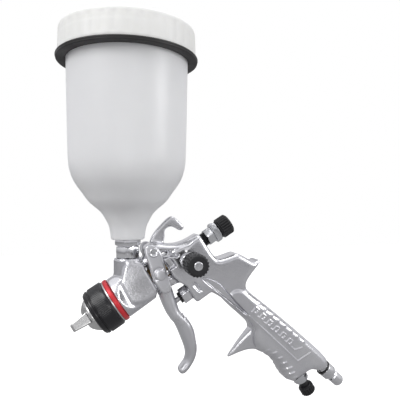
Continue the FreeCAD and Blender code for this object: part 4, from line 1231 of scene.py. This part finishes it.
@dataclass
class Cup:
    """The milky cup with its fitting, union nut, black ring and screwed lid."""

    places: GunPlaces
    low: float = 39.3
    rim: float = 189.0
    radius: float = 45.0
    wall: float = 1.8
    neck: float = 12.5
    ring_start: float = 171.2
    lid_radius: float = 51.0

    def side(self) -> list[Corner]:
        """Give the cup's side from its neck to its rim as a smooth line."""
        low, neck, radius = self.low, self.neck, self.radius
        return curved([
            (low + 0.8, neck), (low + 8, neck + 1.0), (low + 13.7, neck + 3.2), (low + 20.5, neck + 7.5),
            (low + 28, radius - 16.6), (low + 34.5, radius - 11.8), (low + 40, radius - 7.8),
            (low + 45.5, radius - 4.7), (low + 52, radius - 2.6), (low + 60, radius - 1.6),
            (low + 81, radius - 1.0), (low + 131.5, radius)], 4)

    def build(self) -> None:
        """Build the cup's pieces and publish them."""
        axis = self.places.cup
        line = self.side()
        inner = [(x + self.wall * 0.35, r - self.wall) for x, r in line]
        corners = [(self.low, 8.05), (self.low, self.neck - 0.8)] + line
        corners += [(self.rim, self.radius), (self.rim, self.radius - self.wall)] + inner[::-1]
        corners += [(self.low + self.wall, self.neck - self.wall), (self.low + self.wall, 8.05)]
        publish(turned(axis, corners, steps=128, edge=0.3), "milky_cup", "gun", "cup_polythene",
                "cup_body")
        start, inside, outside = self.ring_start, self.radius + 0.3, self.lid_radius + 1.5
        ring = turned(axis, [
            (start, inside), (start + 2.9, inside), (start + 2.9, outside - 0.6),
            (start + 2.4, outside), (start + 1.6, outside), (start + 1.4, outside - 0.3),
            (start + 0.5, outside - 0.3), (start, outside - 0.7)], steps=144)
        publish(ring, "sealing_ring", "lid_seal", "black_rubber", "lid_ring")
        self.lid(axis, start + 2.95)
        self.fitting(axis)

    def lid(self, axis: Axis, base: float) -> None:
        """Build the lid with a rounded shoulder and faint grip flutes.

        Args:
            axis: The cup's axis.
            base: Where the lid starts along it.
        """
        roof, skirt = base + 20.55, self.lid_radius
        shoulder = curved([(base + 12, skirt - 0.3), (roof - 3.6, skirt - 0.5), (roof - 1.6, skirt - 1.0),
                           (roof - 0.4, skirt - 2.2), (roof, skirt - 4)], 4)
        flat = [(base + 1 + i * 1.5, skirt - 0.03 * i) for i in range(8)]
        inside = self.radius + 0.4
        corners = [(roof - 2.4, 0), (roof - 2.4, inside), (base, inside), (base, skirt - 0.3)] + flat
        corners += shoulder + [(roof, skirt - 14), (roof, 30), (roof, 12), (roof, 0)]
        lid = turned(axis, corners, True, 288, edge=0.15)
        fluted(lid, axis, (base + 1.2, roof - 4), skirt - 1.5, 36, 0.4)
        publish(lid, "screwed_lid", "lid", "lid_polythene", "cup_lid")

    def fitting(self, axis: Axis) -> None:
        """Build the cup's hexagon fitting and the union nut below it."""
        low, top = self.low, 25.8
        flats = hexagon(axis, low - 4.5, low - 0.05, 9.8, 4.5, turn=8)
        stem = turned(axis, [
            (top - 11.5, 4.5), (low + 4.2, 4.5), (low + 4.2, 10.2), (low + 1.9, 10.2), (low + 1.9, 7.9),
            (low - 0.1, 7.9), (low - 0.1, 7.5), (low - 5.3, 7.5), (low - 5.3, 6.05),
            (top - 11.5, 6.05)], steps=72, edge=0.15)
        publish(joined("fitting", [stem, flats]), "cup_fitting_hexagon", "gun", "chromed_steel",
                "cup_fitting")
        publish(hexagon(axis, top + 0.08, low - 5.4, 9.8, 6.2, turn=24), "union_nut_hexagon", "gun",
                "chromed_steel", "union_nut")


# ------------------------------------------------------------------ dressing and studio


def dress_frame_nodes() -> None:
    """Give every node that stays in view its finish."""
    for entry in frame["record"]["subparts"]:
        FINISHES[entry["material_slot"]].dress_node(entry["node"])


@dataclass
class Studio:
    """The pale floor, the soft lights and the camera."""

    eye: tuple[float, float, float] = (-0.0617, -0.3341, 0.0254)
    yaw: float = -14.3
    lens: float = 39.6
    floor_drop: float = 0.02

    def build(self, lowest: float) -> None:
        """Set up the studio below the object's lowest point.

        Args:
            lowest: The height of the object's lowest point.
        """
        self.floor(lowest - self.floor_drop)
        self.lights()
        self.sky()
        self.camera()

    def floor(self, height: float) -> None:
        """Lay a plain pale floor."""
        deselect()
        bpy.ops.mesh.primitive_plane_add(size=2.4, location=(0, 0, height))
        floor = bpy.context.object
        floor.name = "floor"
        pale = bpy.data.materials.new("floor_paint")
        pale.use_nodes = True
        shader = pale.node_tree.nodes["Principled BSDF"]
        shader.inputs["Base Color"].default_value = (0.3, 0.3, 0.3, 1)
        shader.inputs["Roughness"].default_value = 0.9
        shader.inputs["Emission Color"].default_value = (1, 1, 1, 1)
        seen = pale.node_tree.nodes.new("ShaderNodeLightPath")
        pale.node_tree.links.new(seen.outputs["Is Camera Ray"], shader.inputs["Emission Strength"])
        floor.data.materials.append(pale)
        floor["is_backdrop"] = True

    def lights(self) -> None:
        """Hang the soft boxes."""
        boxes = (
            ((-0.7, -0.45, 0.6), 0.5, 3.6), ((0.75, -0.5, 0.3), 0.35, 2.2),
            ((0.0, 0.1, 1.0), 1.0, 3.6), ((-0.15, -0.7, -0.1), 0.15, 0.3))
        for spot, size, power in boxes:
            deselect()
            bpy.ops.object.light_add(type="AREA", location=spot)
            lamp = bpy.context.object
            lamp.data.size = size
            lamp.data.energy = power
            aim = Vector((0, 0, 0)) - Vector(spot)
            lamp.rotation_euler = aim.to_track_quat("-Z", "Y").to_euler()

    def sky(self) -> None:
        """Fill the room with light that is darker towards the floor."""
        world = bpy.data.worlds.new("studio")
        bpy.context.scene.world = world
        world.use_nodes = True
        nodes, links = world.node_tree.nodes, world.node_tree.links
        nodes.clear()
        place = nodes.new("ShaderNodeTexCoord")
        split = nodes.new("ShaderNodeSeparateXYZ")
        ramp = nodes.new("ShaderNodeValToRGB")
        steps = ((0.0, 0.5), (0.40, 0.4), (0.46, 0.2), (0.5, 0.52), (0.57, 0.74), (0.66, 0.7),
                 (0.73, 0.16), (0.82, 1.0), (1.0, 1.0))
        for place_in, shine_in in steps[2:]:
            ramp.color_ramp.elements.new(place_in)
        for knot, (place_in, shine_in) in zip(ramp.color_ramp.elements, steps):
            knot.position = place_in
            knot.color = (shine_in, shine_in, shine_in * 1.03, 1)
        spread = nodes.new("ShaderNodeMapRange")
        spread.inputs["From Min"].default_value = -1
        shine = nodes.new("ShaderNodeBackground")
        plain = nodes.new("ShaderNodeBackground")
        plain.inputs["Color"].default_value = (1, 1, 1, 1)
        seen = nodes.new("ShaderNodeLightPath")
        mix = nodes.new("ShaderNodeMixShader")
        out = nodes.new("ShaderNodeOutputWorld")
        links.new(place.outputs["Generated"], split.inputs[0])
        links.new(split.outputs["Z"], spread.inputs["Value"])
        links.new(spread.outputs[0], ramp.inputs["Fac"])
        links.new(ramp.outputs["Color"], shine.inputs["Color"])
        links.new(seen.outputs["Is Camera Ray"], mix.inputs[0])
        links.new(shine.outputs[0], mix.inputs[1])
        links.new(plain.outputs[0], mix.inputs[2])
        links.new(mix.outputs[0], out.inputs["Surface"])

    def camera(self) -> None:
        """Stand the camera in front of the gun, turned a little to the right."""
        deselect()
        turn = (math.radians(90), 0, math.radians(self.yaw))
        bpy.ops.object.camera_add(location=self.eye, rotation=turn)
        camera = bpy.context.object
        camera.data.lens = self.lens
        camera.data.sensor_width = 36
        camera.data.clip_start = 0.01
        bpy.context.scene.camera = camera
        bpy.context.scene.view_settings.view_transform = "Standard"


def plain_lists(bounds: Sequence[Sequence[float]]) -> list[list[float]]:
    """Turn a box into plain lists of numbers."""
    return [[float(value) for value in corner] for corner in bounds]


def main() -> None:
    """Build the whole gun and its studio."""
    logging.basicConfig(level=logging.INFO, format="%(name)s %(message)s")
    frame_size = plain_lists(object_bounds())
    dress_frame_nodes()
    places = GunPlaces(frame["joints"])
    for section in (Casting, Trigger, SprayHead, Controls, Cup):
        LOG.info("building %s", section.__name__)
        section(places).build()
    Studio().build(frame_size[0][2])


if __name__ == "__main__":
    main()
